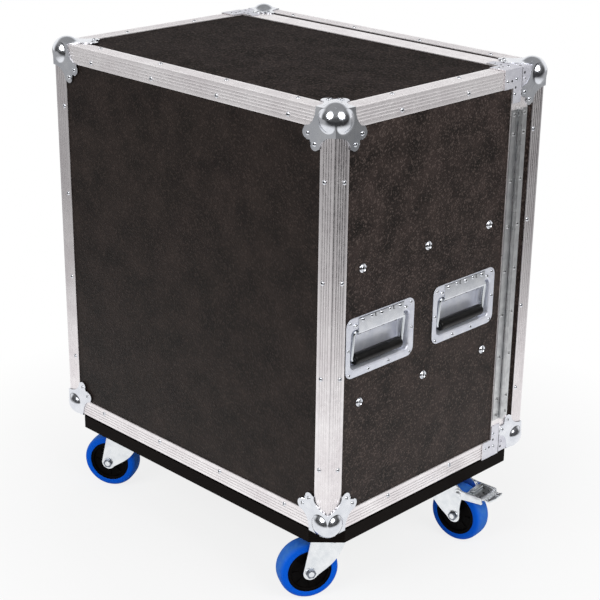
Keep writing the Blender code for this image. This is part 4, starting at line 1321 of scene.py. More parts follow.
@dataclass
class PianoHinge:
    """Full-height hinge: two rolled leaves whose knuckles take turns along the pin."""

    case: Case
    finishes: Finishes
    end: float = 66.0
    radius: float = 3.9
    bore: float = 2.65
    sheet: float = 1.25
    leaf: float = 20.0
    neck: float = 4.6
    bevel: float = 0.4
    roll_end: float = 115
    pin_tip: Profile = ((0, 0.2), (1.7, 0.2), (2.2, 0.8))
    knuckles: int = 19
    rivet_row: float = 12.8
    rivets: tuple[float, ...] = (74.5, 105.0, 183.0, 260.0, 338.0, 416.0, 494.0, 572.0, 604.0)
    rivet_scale: Triple = (1.0, 1.0, 0.9)

    def build(self) -> None:
        """Body leaf, door leaf, pin and the leaves' rivets."""
        axis = np.array([self.case.left - GAP - self.radius, self.case.split, self.case.low + self.end])
        length = self.case.high - self.case.low - 2 * self.end
        pitch = length / self.knuckles
        low, high, edge = -self.radius, self.sheet - self.radius, self.leaf - self.bevel
        for start, way, name, body in ((0, 1, "body", "case"), (1, -1, "door", "door")):
            matrix = frame_matrix(axis, (-1, 0, 0), (0, way, 0), (0, 0, 1))
            skin = Skin()
            outer = np.array([[high, self.neck], [high, edge], [high - self.bevel, self.leaf]])
            inner = np.array([[low, self.neck], [low, edge], [low, self.leaf]])
            ribbon(outer, inner, 0, length, matrix, skin)
            roll, hollow = (arc((0, 0), radius, -180, self.roll_end, 22)
                            for radius in (self.radius, self.bore))
            roll = np.concatenate([[[low, self.neck]], roll])
            hollow = np.concatenate([[[high, self.neck]], hollow])
            for k in range(start, self.knuckles, 2):
                ribbon(roll, hollow, k * pitch + GAP / 2, (k + 1) * pitch - GAP / 2, matrix, skin)
            studs = []
            for up in self.rivets:
                place = axis + (self.radius - self.sheet, way * self.rivet_row, up - self.end)
                studs.append(scaled(facing(place, (-1, 0, 0)), *self.rivet_scale))
            skin.copies(Rivet().skin(), studs)
            skin.build(f"{name}_hinge_leaf", [self.finishes.hinge, self.finishes.shadow], body,
                       Slot.STEEL, [f"hinge_{name}_leaf"], 30)
        rod = Skin()
        tip = np.array(self.pin_tip)
        rod.turned(np.concatenate([tip, (0, length) + tip[::-1] * (1, -1)]), 16, shift(*axis))
        rod.build("hinge_rod", [self.finishes.zinc], "case", Slot.STEEL, ["hinge_pin"])


@dataclass
class Handle:
    """Recessed handle: a pressed dish, a rolled strip, and a sprung bail with a rubber grip.

    Places are (x, y) in the handle's frame, and axis and curl belong to the strip's section. A
    slot is its way right of a small rivet and up from the rivets' line, and its half sizes.
    """

    case: Case
    finishes: Finishes
    flange: Triple = (155.0, 98.0, 14.0)
    flange_round: tuple[float, ...] = (0, -1.5, -4)
    tub: Triple = (132.0, 65.0, 9.0)
    tub_middle: float = -3.5
    taper: float = 4.0
    deep: float = 20.0
    lip: float = 2.6
    lip_turns: tuple[float, ...] = (0, 22, 45, 68, 86)
    foot: float = 6.0
    foot_turns: tuple[float, ...] = (0, 22, 45, 68, 90)
    floor_rings: Quad = (0.7, 0.4, 0.1, 0.0)
    floor_slope: float = 0.06
    sheet: float = 1.2
    strip_far: float = 47.4
    strip_half: float = 51.0
    strip_top: float = 0.55
    strip_end: Profile = ((0, -0.1), (0, 0.2), (0.15, 0.45), (0.5, 0.55), (2, 0.55))
    axis: Pair = (23.5, -3.9)
    curl: Pair = (4.8, 3.3)
    rod: float = 3.1
    bend: float = 4.0
    spread: float = 57.0
    length: float = 47.0
    tilt_deg: float = 5.0
    grip: float = 9.0
    grip_round: float = 2.4
    big_rivets: tuple[float, ...] = (-42.0, 0.0, 42.0)
    big_scale: Triple = (1.0, 1.0, 1.25)
    small_rivets: Pair = (-22.0, 19.0)
    small_scale: Triple = (0.85, 0.85, 0.9)
    small_lift: float = 0.8
    slots: tuple[Quad, ...] = ((8.2, 1.2, 1.1, 3.4), (9.6, -1.6, 1.8, 0.9))
    rivet_line: float = 42.6
    springs: tuple[float, ...] = (-48.0, -24.5, 4.0, 33.0)
    spring_half: float = 2.2
    notch_arc: Pair = (116, 176)
    notch_lift: Pair = (0.06, -0.3)
    flange_rivets: Profile = ((-69.0, 41.0), (69.0, 41.0), (-72.2, -2.0), (72.2, -2.0),
                              (-69.5, -43.4), (69.5, -43.4), (-26.0, -43.6), (20.0, -43.6))
    flange_scale: Triple = (0.8, 0.8, 0.8)
    bump: Triple = (5.4, 3.4, 2.6)
    bump_at: Pair = (56.6, 35.6)

    def place(self, name: str, side: int) -> Array:
        """Local axes at the flange's middle: +Z out of the case, +Y up.

        Args:
            name: the handle's name.
            side: -1 for left, 1 for right.

        Returns:
            The matrix.
        """
        low, high = (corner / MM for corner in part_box(f"{name}_handle_dish"))
        x = self.case.left if side < 0 else self.case.right
        middle = (x, (low.y + high.y) / 2, (low.z + high.z) / 2)
        return frame_matrix(middle, (0, side, 0), (0, 0, 1), (side, 0, 0))

    def dish(self) -> Array:
        """Rings of round rectangles, from the flange's edge over the lip, down the wall, to the floor.

        The lip and the foot are quarter circles, the wall narrows by the taper, and the floor slopes.

        Returns:
            A grid whose rows are the rings.
        """
        rings = []

        def ring(size: Sequence[float], grow: float, middle: float, level: float) -> None:
            """Add a round rectangle of a size, grown all round, at a level."""
            corner = max(size[2] + grow / 2, 0.8)
            outline = rounded(size[0] + grow, size[1] + grow, corner, (0, middle), 9)
            rings.append(at_height(outline, level))

        for grow in self.flange_round:
            ring(self.flange, grow, 0, -GAP)
        for turn in np.radians(self.lip_turns):
            level = -GAP - self.lip * (1 - math.cos(turn))
            ring(self.tub, 2 * self.lip * (1 - math.sin(turn)), self.tub_middle, level)
        for turn in np.radians(self.foot_turns):
            grow = -self.taper - 2 * self.foot * (1 - math.cos(turn))
            ring(self.tub, grow, self.tub_middle, -self.deep + self.foot * (1 - math.sin(turn)))
            rings[-1][:, 2] += self.floor_slope * (rings[-1][:, 1] - self.tub_middle)
        middle = np.array([0, self.tub_middle, -self.deep])
        arm = rings[-1] - middle
        return np.stack([*rings, *(middle + arm * shrink for shrink in self.floor_rings)])

    def build(self, name: str, side: int) -> None:
        """Every piece of one handle.

        Args:
            name: the handle's name.
            side: -1 for left, 1 for right.
        """
        place = self.place(name, side)
        flat = place @ CROSSED
        dish = Skin()
        dish.grid(moved(self.dish(), place), wrap_columns=True)
        piece = dish.build(f"{name}_dish", [self.finishes.dish], "case", Slot.STEEL,
                           [f"{name}_handle_dish"], 50)
        thicken(piece, self.sheet)
        self.strip(flat).build(f"{name}_strip", [self.finishes.bright_zinc], "case", Slot.STEEL,
                               smooth_deg=35)
        self.fixings(place, flat).build(f"{name}_studs", self.finishes.studs, "case", Slot.STEEL)
        self.bail(name, place)

    def strip(self, flat: Array) -> Skin:
        """Riveted flat that rolls down over the bail's rod: a line, then an arc about the rod.

        The points of its rounded end, below the top, all face the end's own foot.

        Args:
            flat: takes the strip's section into the row frame.

        Returns:
            The strip.
        """
        back, level = np.transpose(self.strip_end)
        end = np.stack([self.strip_far - back, level], -1)
        foot = self.strip_far - back * (level == self.strip_top)
        under = np.stack([foot, np.full(len(foot), -GAP)], -1)
        outer = np.concatenate([end, arc(self.axis, self.curl[0], 90, 240, 16)])
        inner = np.concatenate([under, arc(self.axis, self.curl[1], 90, 240, 16)])
        skin = Skin()
        ribbon(outer, inner, -self.strip_half, self.strip_half, flat, skin)
        return skin

    def fixings(self, place: Array, flat: Array) -> Skin:
        """Rivets, slots, the rod's two bosses and the spring's four notches, the slots and notches
        painted dark as shade.

        Args:
            place: the handle's local axes.
            flat: takes the strip's section into the row frame.

        Returns:
            All of them as one skin.
        """
        skin = Skin()
        rivet, punch = Rivet().skin(), Punch().skin()
        line, top = self.rivet_line, self.strip_top
        spots = [(rivet, (x, y, -GAP), self.flange_scale) for x, y in self.flange_rivets]
        spots += [(rivet, (x, line, top), self.big_scale) for x in self.big_rivets]
        for x in self.small_rivets:
            spots.append((rivet, (x, line + self.small_lift, top), self.small_scale))
            for right, up, wide, high in self.slots:
                # Slots are discs painted dark as shade.
                spots.append((punch, (x + right, line + up, top), (wide, high, 1)))
        for part, spot, factors in spots:
            skin.copies(part, [scaled(place @ shift(*spot), *factors)])
        dome = arc((0, 0), 1, -20, 90, 8)
        for way in (-1, 1):
            boss = place @ shift(way * self.bump_at[0], self.bump_at[1], -GAP)
            skin.turned(dome, 18, scaled(boss, *self.bump))
        # Painted shade: dark bands on the curl where the spring's notches are.
        outer, inner = (arc(self.axis, self.curl[0] + lift, *self.notch_arc, 8)
                        for lift in self.notch_lift)
        for x in self.springs:
            ribbon(outer, inner, x - self.spring_half, x + self.spring_half, flat, skin, 1)
        return skin

    def bail(self, name: str, place: Array) -> None:
        """Rod bent into a U from the strip round the grip, leaning in by the tilt.

        Args:
            name: the handle's name.
            place: the handle's local axes.
        """
        turn = math.radians(self.tilt_deg)
        c, s = math.cos(turn), math.sin(turn)
        lean = place @ frame_matrix((0, *self.axis), (1, 0, 0), (0, c, s), (0, -s, c))
        bend, wide, long = self.bend, self.spread, self.length
        half = np.concatenate([[[wide - 8, 0], [wide - bend - 1, 0]],
                               arc((wide - bend, -bend), bend, 90, 0, 7), [[wide, -long / 2]],
                               arc((wide - bend, bend - long), bend, 0, -90, 7),
                               [[wide - bend - 1, -long], [20, -long]]])
        path = at_height(np.concatenate([half, half[::-1] * (-1, 1)]), 0)
        rod = moved(tube(path, self.rod, 16), lean)
        skin = Skin()
        skin.grid(rod, wrap_columns=True)
        skin.cap(rod[0])
        skin.cap(rod[-1])
        body = f"{name}_bail"
        skin.build(f"{name}_rod", [self.finishes.chrome], body, Slot.STEEL, [f"{name}_handle_bail"], 60)
        end, soft = wide - bend, self.grip_round
        half_grip = np.concatenate([[[self.rod - 0.4, end - 0.8], [self.rod + 0.6, end]],
                                    arc((self.grip - soft, end - soft), soft, 90, 0, 5),
                                    [[self.grip, end - 8], [self.grip + 0.25, 0]]])
        profile = np.concatenate([half_grip, half_grip[-2::-1] * (1, -1)])
        grip = Skin()
        grip.turned(profile, 32, lean @ shift(0, -long, 0) @ CROSSED, closed=True)
        grip.build(f"{name}_grip", [self.finishes.grip], body, Slot.GRIP, smooth_deg=50)


@dataclass
class Castor:
    """Swivel castor with a stepped black hub, a blue tyre, and a pedal where it is braked.

    Each profile is (radius, height) about its own kingpin, bolt or axle, and the leg is (x, z)
    in the fork's frame.
    """

    name: str
    finishes: Finishes
    swivel: Array
    heading: float
    board: float
    braked: bool
    offset: float = 38.0
    drop: float = 76.0
    sheet: float = 3.0
    plate: Triple = (105.0, 85.0, 8.0)
    bolts: Pair = (41.0, 31.0)
    leg: float = 21.5
    leg_top: Profile = ((-22, -13), (-24, -14.5), (-25.5, -18), (-25, -22))
    leg_foot: Pair = (27.8, -83.2)
    leg_bulge: Pair = (-6.4, -5.8)
    boss: float = 12.5
    ear: float = 8.0
    ear_dip: float = 1.6
    bend_line: float = 29.0
    bend_slope: float = 0.06
    spoke: Triple = (11.5, 1.5, 0.7)
    spoke_high: float = 3.0
    spoke_radius: float = 22.6
    spoke_depth: float = 12.4
    pivot: Pair = (47.0, -30.0)
    arm: float = 24.4
    arm_sheet: float = 2.2
    tread: Pair = (15.0, 65.0)
    tread_half: float = 25.5
    tread_sheet: float = 2.0
    lip_at: float = 44.0
    lip_narrow: float = 5.5
    tip_at: float = 58.0
    tip_narrow: float = 7.0
    groove: float = 0.7
    raised: float = 1.4
    tread_level: tuple[Sequence[float], Sequence[float]] = ((15, 22, 40, 46, 50, 55, 60, 65),
                                                            (6.4, 5.6, 4.4, 3.6, 1.6, 0.9, 2.6, 6.4))
    race: Profile = ((0, -3), (28.5, -3), (30, -4.2), (30.4, -6), (29.6, -8), (27.2, -9), (26.6, -10.5),
                     (25.6, -12.1), (7, -12.2), (7, -15.8), (11.8, -15.8), (12, -16.4), (12, -18.6),
                     (10.6, -19.5), (5.5, -19.5), (5, -18.9), (0, -18.9))
    bolt: Profile = ((0, -3.2), (8.4, -3.2), (8.6, -3.6), (8.6, -4.4), (8.2, -4.8), (6.6, -4.8),
                     (6.4, -7.2), (5.6, -8.4), (3.4, -9), (0, -9.1))
    crown: Profile = ((7.3, -12.5), (20, -12.5), (30, -12.6), (32.3, -13.2), (33, -14.7), (33, -16.7),
                      (31.4, -16.7), (31, -15.5), (20, -15.5), (7.3, -15.5))
    axle_bar: Profile = ((0, -27.8), (4.6, -27.8), (5.6, -26.9), (5.6, 26.9), (4.6, 27.8), (0, 27.8))
    washer: Profile = ((0, 23), (9.6, 23), (9.8, 23.3), (9.6, 23.9), (0, 23.9))
    axle_nut: Profile = ((0, 23.8), (8.5, 23.8), (8.5, 26.9), (7.3, 27.6), (6.2, 27.7), (0, 27.7))
    stud: Profile = ((0, 22.5), (3, 22.5), (3, 25.6), (5.2, 25.6), (5.1, 26.4), (4.2, 27.2),
                     (2.4, 27.7), (0, 27.8))
    hub_side: Profile = ((6.3, 19.7), (11.5, 19.7), (12.7, 19.1), (13.4, 17.5), (15.4, 13.8),
                         (16.6, 12.9), (20, 12.5), (29.2, 12.5), (30.6, 13), (31.4, 14.4), (31.9, 15.7),
                         (32.6, 16.3), (34.6, 16.6), (35.2, 16.2), (35.7, 16.2), (36.2, 17), (37, 17.2),
                         (37, 15))
    tyre_side: Profile = ((36.5, 14.5), (37, 17), (37.8, 17.5), (39.5, 17.5), (42.5, 17.4), (44.6, 17),
                          (46.4, 16.1), (47.9, 14.6), (49, 12.6), (49.6, 10.4), (49.85, 8), (49.95, 5),
                          (50, 2))
    tyre_wear: Sequence[float] = (0, 0, 0, 0, 0, 0, 0.1, 0.35, 0.65, 0.85, 0.95, 1, 1)

    @classmethod
    def from_joints(cls, name: str, finishes: Finishes, joints: dict, board: float) -> "Castor":
        """Read the swivel's place and the wheel's heading from the model's joints.

        Args:
            name: the castor's name.
            finishes: every material.
            joints: the model's joints by name.
            board: height of the board's underside.

        Returns:
            The castor.
        """
        swivel = np.array(joints[f"{name}_swivel"]["pos_m"][:2]) / MM
        axle = np.array(joints[f"{name}_spin"]["pos_m"][:2]) / MM
        heading = math.atan2(*(axle - swivel)[::-1])
        return cls(name, finishes, swivel, heading, board, f"{name}_brake" in joints)

    def fork_frame(self) -> Array:
        """Local axes at the board's underside: +X towards the wheel, +Z up."""
        c, s = math.cos(self.heading), math.sin(self.heading)
        return frame_matrix((*self.swivel, self.board), (c, s, 0), (-s, c, 0), (0, 0, 1))

    def upright(self, way: int, off: float, at: Pair = (0, 0)) -> Array:
        """Local x and z as a flat plate's x and y, its outside facing to one side.

        Args:
            way: -1 or 1, the side it faces.
            off: distance from the middle.
            at: local x and z of its origin.

        Returns:
            The matrix.
        """
        matrix = frame_matrix((at[0], way * off, at[1]), (1, 0, 0), (0, 0, 1), (0, way, 0))
        return self.fork_frame() @ matrix

    def crosswise(self, x: float, z: float) -> Array:
        """Z along an axle that crosses the fork at local x and z."""
        return self.fork_frame() @ frame_matrix((x, 0, z), (1, 0, 0), (0, 0, -1), (0, 1, 0))

    def build(self) -> None:
        """Plate, fork, wheel and pedal."""
        self.build_plate()
        self.build_fork()
        self.build_wheel()
        if self.braked:
            self.build_pedal()

    def build_plate(self) -> None:
        """Top plate with its ball race, kingpin nut and four bolts."""
        skin = Skin()
        place = shift(*self.swivel, self.board)
        skin.press(rounded(*self.plate), self.sheet, place @ shift(0, 0, -GAP - self.sheet / 2), 0.9)
        skin.turned(self.race, 40, place)
        for x in (-self.bolts[0], self.bolts[0]):
            for y in (-self.bolts[1], self.bolts[1]):
                skin.turned(self.bolt, 20, place @ shift(x, y, 0))
        skin.build(f"{self.name}_top_plate", [self.finishes.zinc], "case", Slot.STEEL,
                   [f"{self.name}_castor_plate"], 35)

    def leg_outline(self) -> Array:
        """Side of a leg: a bulged flank from the crown to the round boss, and an ear where braked.

        Returns:
            Its (x, z) points in the fork's frame.
        """
        flank = np.linspace(self.leg_top[-1], self.leg_foot, 16)[1:-1]
        flank += np.sin(np.linspace(0, math.pi, 16)[1:-1])[:, None] ** 1.2 * self.leg_bulge
        boss = arc((self.offset, -self.drop), self.boss, 215, 375, 18)
        if self.braked:
            ear = arc(self.pivot, self.ear, -30, 60, 8)
            rise = np.linspace(boss[-1], ear[0], 10)[1:-1]
            rise[:, 0] -= self.ear_dip * np.sin(np.linspace(0.1, math.pi - 0.1, 8))
            edge = np.linspace((38, -13), self.leg_top[0], 12)
            top = np.concatenate([ear, [[44, -18]], edge[:-1]])
        else:
            rise = np.linspace(boss[-1], (38, -15), 12)[1:]
            top = np.linspace((36, -13), self.leg_top[0], 12)[:-1]
        return np.concatenate([self.leg_top, flank, boss, rise, top])

    def build_fork(self) -> None:
        """Crown, two legs bent in along one line, the axle's bolt and nuts, and the pedal's studs."""
        skin = Skin()
        skin.turned(self.crown, 44, self.fork_frame(), closed=True)

        def tilt(x: Array, z: Array) -> Array:
            """Bend inwards behind the bend line, more and more down from the crown."""
            return -self.bend_slope * np.maximum(self.bend_line - x, 0) * ease((-13 - z) / 14 + 0.35)

        for way in (-1, 1):
            skin.press(self.leg_outline(), self.sheet, self.upright(way, self.leg), 0.8, 18, tilt)
        axle = self.crosswise(self.offset, -self.drop)
        skin.turned(self.axle_bar, 20, axle)
        for way in (1, -1):
            skin.turned(np.array(self.washer) * (1, way), 28, axle)
            skin.turned(np.array(self.axle_nut) * (1, way), 6, axle, slot=1)
        if self.braked:
            for way in (1, -1):
                skin.turned(np.array(self.stud) * (1, way), 20, self.crosswise(*self.pivot))
        skin.build(f"{self.name}_fork_shell", [self.finishes.zinc, self.finishes.nut],
                   f"{self.name}_fork", Slot.STEEL, [f"{self.name}_castor_fork"], 32)

    def build_wheel(self) -> None:
        """Black nylon centre with steps and eight ribs a side, and the blue tyre on its rim."""
        body = f"{self.name}_wheel"
        axle = self.crosswise(self.offset, -self.drop)
        hub = Skin()
        hub.turned(doubled(self.hub_side), 64, axle, closed=True)
        for turn in np.radians(np.arange(0, 360, 45)):
            c, s = math.cos(turn), math.sin(turn)
            spoke = axle @ frame_matrix((0, 0, 0), (c, s, 0), (-s, c, 0), (0, 0, 1))
            for way in (-1, 1):
                middle = spoke @ shift(self.spoke_radius, 0, way * self.spoke_depth)
                hub.press(rounded(*self.spoke), self.spoke_high, middle, rows=2)
        hub.build(f"{self.name}_hub", [self.finishes.hub], body, Slot.WHEEL,
                  [f"{self.name}_castor_wheel"], 35)
        tyre = Skin()
        wear = np.array(self.tyre_wear)
        tyre.turned(doubled(self.tyre_side), 96, axle, closed=True,
                    wear=np.concatenate([wear, wear[::-1]]))
        tyre.build(f"{self.name}_tyre", [self.finishes.tyre], body, Slot.WHEEL, smooth_deg=50)

    def build_pedal(self) -> None:
        """Two arms on the fork's studs, a treadle between them, and a lip that turns up.

        The treadle is a grid of places along it by places across it. Its height is a smoothed line
        along it, with raised sides, less two grooves that are a high power of a cosine across.
        """
        skin = Skin()
        top = np.stack([np.linspace(46, 22, 6), np.linspace(6.6, 7.4, 6)], -1)
        arm = np.concatenate([arc((0, 0), 9, 62, 285, 20), np.linspace((8, -8.4), (43, -5.2), 8),
                              arc((45.6, -2.4), 3, -60, 30, 5), top])
        for way in (-1, 1):
            skin.press(arm, self.arm_sheet, self.upright(way, self.arm, self.pivot), 0.8, 10)
        place = self.fork_frame() @ shift(self.pivot[0], 0, self.pivot[1])
        x = np.linspace(*self.tread, 41)
        level = np.pad(np.interp(x, *self.tread_level), 2, mode="edge")
        level = np.convolve(level, np.full(5, 0.2), "valid")
        tip = np.clip((x - self.tip_at) / (self.tread[1] - self.tip_at), 0, 1) ** 3
        half = self.tread_half - self.lip_narrow * ease((x - self.lip_at) / 5) - self.tip_narrow * tip
        across = np.concatenate([[-1, -0.985], np.linspace(-0.93, 0.93, 17), [0.985, 1]])
        surface = np.stack(np.broadcast_arrays(x[:, None], across * half[:, None], level[:, None]), -1)
        groove = self.groove * np.cos(across * math.pi * 3) ** 8
        surface[..., 2] += self.raised * ease((np.abs(across) - 0.9) / 0.08)
        surface[..., 2] -= groove * ease((self.lip_at - x[:, None]) / 6)
        low = surface - (0, 0, self.tread_sheet)
        skin.grid(moved(np.concatenate([surface, low[::-1]]), place), wrap_rows=True)
        for end in (0, -1):
            skin.grid(moved(np.stack([surface[:, end], low[:, end]]), place))
        # The treadle's slot is a disc painted dark as shade.
        skin.copies(Punch().skin(), [scaled(place @ shift(36, 0, 4.4), 1.8, 5.5, 1)])
        skin.press(rounded(9, 30, 1.5), 2.4, place @ shift(21, 0, 8.2), 0.7, 3)
        skin.build(f"{self.name}_brake_pedal", [self.finishes.zinc, self.finishes.shadow],
                   f"{self.name}_pedal", Slot.STEEL, [f"{self.name}_castor_pedal"], 35)


@dataclass
class Latch:
    """Butterfly latch: dish, wing, claw and the door's keeper, all riveted pressings."""

    name: str
    case: Case
    nodes: dict
    finishes: Finishes
    rivet_inset: float = 4.6
    keeper_inset: float = 7.6
    dish_inset: float = 9.6
    rivet_scale: float = 0.75

    def build(self) -> None:
        """Stand-ins with rounded edges, then rivets in the flanges' corners."""
        bright, dull = self.finishes.bright_zinc, self.finishes.dish
        parts = (("dish", "case", dull, 0.35), ("wing", f"{self.name}_wing", bright, 0.6),
                 ("claw", f"{self.name}_claw", bright, 0.35), ("keeper", "door", dull, 0.35))
        for part, body, finish, width in parts:
            node = self.nodes[f"{self.name}_latch_{part}"]
            softened(node, f"{self.name}_{part}_pressing", [finish], body, width)
        inset = self.rivet_inset
        for part, body, count in (("dish", "case", 3), ("keeper", "door", 2)):
            low, high = (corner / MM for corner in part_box(f"{self.name}_latch_{part}"))
            rows = np.linspace(low.z + inset, high.z - inset, count)
            if part == "dish":
                line, other = high.y - inset, low.y + self.dish_inset
            else:
                line, other = low.y + inset, high.y - self.keeper_inset
            spots = [(line, up) for up in rows] + [(other, up) for up in (rows[0], rows[-1])]
            places = [facing((self.case.right - GAP, y, z), (1, 0, 0)) for y, z in spots]
            skin = Skin()
            skin.copies(Rivet().skin(), [scaled(place, *[self.rivet_scale] * 3) for place in places])
            skin.build(f"{self.name}_{part}_rivets", self.finishes.studs, body, Slot.STEEL)


@dataclass(frozen=True)
class PhotoCamera:
    """The photograph's viewpoint, found from the case's edges."""

    offset: Triple = (-1.4171, 1.5016, 1.1954)
    heading_deg: float = -45.35
    pitch_deg: float = -21.17
    roll_deg: float = 0.736
    lens: float = 90.777
    sensor: float = 36.0

    def build(self, case: Case) -> None:
        """Stand the camera off from the case's back left bottom corner."""
        heading, pitch = math.radians(self.heading_deg), math.radians(self.pitch_deg)
        forward = Vector((math.cos(pitch) * math.cos(heading), math.cos(pitch) * math.sin(heading),
                          math.sin(pitch)))
        camera = bpy.data.objects.new("photo_camera", bpy.data.cameras.new("photo_camera"))
        camera.data.lens = self.lens
        camera.data.sensor_width = self.sensor
        camera.rotation_mode = "QUATERNION"
        roll = Quaternion((0, 0, 1), math.radians(self.roll_deg))
        camera.rotation_quaternion = (-forward).to_track_quat("Z", "Y") @ roll
        corner = Vector((case.left, case.back, case.low)) * MM
        camera.location = corner + Vector(self.offset)
        bpy.context.scene.collection.objects.link(camera)
        bpy.context.scene.camera = camera


@dataclass(frozen=True)
class Studio:
    """White sweep, two round softboxes beside the camera, and dark flags beyond the floor.

    Each fade is where it starts and ends, in metres, and its value at both ends.
    """

    ambient: float = 0.42
    lamp_watts: float = 60.0
    lamp_radius: float = 1.15
    lamp_distance: float = 2.9
    lamp_height: float = 2.3
    lamp_turns: Pair = (94.0, 176.0)
    aim_height: float = 0.45
    floor_half: float = 30.0
    floor_grey: float = 0.7
    floor_white: Quad = (0.4, 0.9, 0.82, 1.0)
    light_pool: Pair = (0.1, -0.1)
    light_pool_fade: Quad = (1.05, 1.75, 0.0, 1.0)
    dark_way: Triple = (-0.85, 0.53, 0)
    dark_fade: Quad = (0.3, 1.5, 0.42, 0.04)
    tent_radius: float = 9.0
    tent_rings: int = 12
    tent_columns: int = 48
    cloth_fade: Quad = (3.0, 7.5, 0.08, 0.32)
    paper_way: Triple = (0.7, -0.7, 0)
    paper_fade: Quad = (1.0, 4.0, 0.0, 1.0)
    paper_top: Quad = (4.2, 6.8, 1.0, 0.0)

    def build(self) -> None:
        """World, floor and lamps; a colour renders about as it is written."""
        self.world()
        self.floor()
        self.tent()
        for number, turn in enumerate(self.lamp_turns):
            self.lamp(f"softbox_{number}", turn)

    def world(self) -> None:
        """Soft grey light all round, seen as white by the camera and in reflections."""
        world = bpy.data.worlds.new("studio")
        world.use_nodes = True
        tree = world.node_tree
        soft = tree.nodes["Background"]
        soft.inputs["Color"].default_value = WHITE
        soft.inputs["Strength"].default_value = self.ambient
        white = add_node(tree, "Background", {"Color": WHITE, "Strength": 1.0})
        ray = add_node(tree, "LightPath").outputs
        seen = ray["Is Camera Ray"]
        for kind in ("Is Glossy Ray", "Is Transmission Ray"):
            seen = add_node(tree, "Math", links={0: seen, 1: ray[kind]}, operation="MAXIMUM").outputs[0]
        mix = add_node(tree, "MixShader", links={0: seen, 1: soft.outputs[0], 2: white.outputs[0]})
        tree.links.new(mix.outputs[0], tree.nodes["World Output"].inputs["Surface"])
        bpy.context.scene.world = world

    @staticmethod
    def backdrop(name: str, stuff: str, points: list, faces: list) -> tuple[Piece, Tree]:
        """Link a backdrop's mesh with a new material.

        Args:
            name: the object's name.
            stuff: the material's name.
            points: its points, in metres.
            faces: its faces.

        Returns:
            The object and its material's nodes.
        """
        mesh = bpy.data.meshes.new(name)
        mesh.from_pydata(points, [], faces)
        material = bpy.data.materials.new(stuff)
        material.use_nodes = True
        mesh.materials.append(material)
        piece = bpy.data.objects.new(name, mesh)
        bpy.context.scene.collection.objects.link(piece)
        return piece, material.node_tree

    def floor(self) -> None:
        """Matt white paper that keeps the shadow near the case and fades to plain white. In reflections
        it glows as a painted pool of light near the case, with painted shade beyond it towards one
        side.
        """
        half = self.floor_half
        corners = [(-half, -half, 0), (half, -half, 0), (half, half, 0), (-half, half, 0)]
        floor, tree = self.backdrop("studio_floor", "white_paper", corners, [(0, 1, 2, 3)])
        shader = tree.nodes["Principled BSDF"]
        shader.inputs["Base Color"].default_value = (*[self.floor_grey] * 3, 1)
        shader.inputs["Roughness"].default_value = 0.9
        place = add_node(tree, "TexCoord").outputs["Object"]
        ray = add_node(tree, "LightPath").outputs
        fades = []
        for operation, point, fade in (("LENGTH", (0, 0, 0), self.floor_white),
                                       ("DISTANCE", (*self.light_pool, 0), self.light_pool_fade),
                                       ("DOT_PRODUCT", self.dark_way, self.dark_fade)):
            away = add_node(tree, "VectorMath", {1: point}, {0: place}, operation=operation)
            links = {"Value": away.outputs["Value"]}
            fades.append(add_node(tree, "MapRange", dict(zip(RANGE, fade)), links).outputs[0])
        white, light_pool, beyond = fades
        seen = ray["Is Camera Ray"]
        for other, operation in ((ray["Is Transmission Ray"], "MAXIMUM"), (white, "MULTIPLY"),
                                 (ray["Is Glossy Ray"], "MAXIMUM")):
            seen = add_node(tree, "Math", links={0: other, 1: seen}, operation=operation).outputs[0]
        # Painted light: reflections see the floor glowing at full strength near the case, fading to
        # painted shade beyond it towards one side.
        level = beyond
        for share in (light_pool, ray["Is Glossy Ray"]):
            level = add_node(tree, "Mix", {2: 1.0}, {0: share, 3: level}, data_type="FLOAT").outputs[0]
        glow = add_node(tree, "Emission", {"Color": WHITE}, {"Strength": level})
        mix = add_node(tree, "MixShader", links={0: seen, 1: shader.outputs[0], 2: glow.outputs[0]})
        tree.links.new(mix.outputs[0], tree.nodes["Material Output"].inputs["Surface"])

    def tent(self) -> None:
        """Grey cloth far outside, seen only in reflections, with white paper behind the case.

        Rings of a sphere: radius cos e across and sin e high, as e goes from the floor to the top.
        """
        rings, columns = self.tent_rings, self.tent_columns
        rise = np.radians(np.linspace(0, 88, rings))
        surface = spun(self.tent_radius * np.stack([np.cos(rise), np.sin(rise)], -1), columns)
        index = np.arange(rings * columns).reshape(rings, columns)
        index = np.concatenate([index, index[:, :1]], 1)
        faces = np.stack([index[:-1, :-1], index[1:, :-1], index[1:, 1:], index[:-1, 1:]], -1)
        tent, tree = self.backdrop("studio_tent", "grey_cloth", surface.reshape(-1, 3).tolist(),
                                   faces.reshape(-1, 4).tolist())
        tent.data.shade_smooth()
        place = add_node(tree, "TexCoord").outputs["Object"]
        height = add_node(tree, "SeparateXYZ", links={"Vector": place}).outputs["Z"]
        behind = add_node(tree, "VectorMath", {1: self.paper_way}, {0: place}, operation="DOT_PRODUCT")
        fades = []
        for source, fade in ((height, self.cloth_fade), (behind.outputs["Value"], self.paper_fade),
                             (height, self.paper_top)):
            links = {"Value": source}
            fades.append(add_node(tree, "MapRange", dict(zip(RANGE, fade)), links).outputs[0])
        cloth, near, under = fades
        paper = add_node(tree, "Math", links={0: near, 1: under}, operation="MULTIPLY").outputs[0]
        level = add_node(tree, "Mix", {3: 1.0}, {0: paper, 2: cloth}, data_type="FLOAT").outputs[0]
        glow = add_node(tree, "Emission", {"Color": WHITE}, {"Strength": level})
        tree.links.new(glow.outputs[0], tree.nodes["Material Output"].inputs["Surface"])
        tent.visible_camera = tent.visible_diffuse = False
        tent.visible_transmission = tent.visible_shadow = False

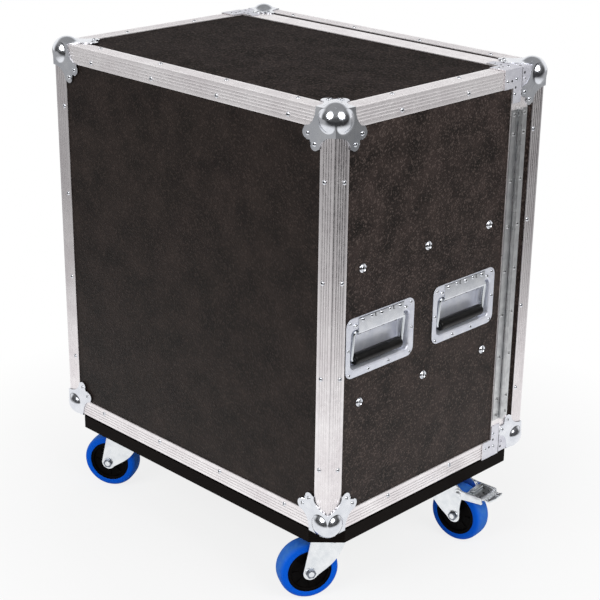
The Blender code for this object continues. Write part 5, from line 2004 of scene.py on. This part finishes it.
    def lamp(self, name: str, turn_deg: float) -> None:
        """One round softbox that looks at the middle of the case.

        Args:
            name: the lamp's name.
            turn_deg: where it stands round the case.
        """
        light = bpy.data.lights.new(name, "AREA")
        light.shape = "DISK"
        light.size = 2 * self.lamp_radius
        light.energy = self.lamp_watts
        lamp = bpy.data.objects.new(name, light)
        turn = math.radians(turn_deg)
        lamp.location = (self.lamp_distance * math.cos(turn), self.lamp_distance * math.sin(turn),
                         self.lamp_height)
        lamp.rotation_mode = "QUATERNION"
        back = lamp.location - Vector((0, 0, self.aim_height))
        lamp.rotation_quaternion = back.to_track_quat("Z", "Y")
        lamp.visible_camera = False
        bpy.context.scene.collection.objects.link(lamp)


@dataclass
class Panels:
    """The plywood walls, door and shelves, which keep their CAD shape."""

    nodes: dict
    finishes: Finishes

    def build(self) -> None:
        """Dress each panel in its veneer."""
        # The sides take the lit copy of the film, the top and the door's wall the shaded copy.
        back, side, top = self.finishes.film, self.finishes.lit_side_film, self.finishes.shaded_top_film
        films = {"back_panel": back, "base_panel": back, "door_panel": back, "left_panel": side,
                 "right_panel": side, "top_panel": top, "door_wall": top}
        for name, film in films.items():
            dress(self.nodes[name], film)
            LOG.info("%s keeps its CAD shape", name)
        for name in ("lower_shelf", "upper_shelf"):
            dress(self.nodes[name], self.finishes.birch)
        softened(self.nodes["castor_board"], "stained_board", [self.finishes.board], "case",
                 0.8)


def main() -> None:
    """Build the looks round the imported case, in order."""
    logging.basicConfig(level=logging.INFO, format="%(name)s: %(message)s")
    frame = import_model()
    bpy.context.scene.view_settings.view_transform = "Standard"
    case = Case.from_frame()
    PhotoCamera().build(case)
    Studio().build()
    finishes = Finishes()
    nodes = frame["nodes"]
    for node in nodes.values():
        dress(node, finishes.zinc)
    Panels(nodes, finishes).build()
    Edging(case, finishes).build()
    Joint(case, nodes, finishes).build()
    BallCorner(case, finishes).build()
    EdgeRivets(case, finishes).build()
    PianoHinge(case, finishes).build()
    handle = Handle(case, finishes)
    for side, side_name in SIDES:
        for where in ("back", "front"):
            handle.build(f"{side_name}_{where}", side)
    joints = {joint["name"]: joint for joint in frame["joints"]}
    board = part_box("castor_board")[0].z / MM
    for name in ("back_left", "back_right", "front_left", "front_right"):
        Castor.from_joints(name, finishes, joints, board).build()
    for name in ("lower", "upper"):
        Latch(name, case, nodes, finishes).build()


if __name__ == "__main__":
    main()
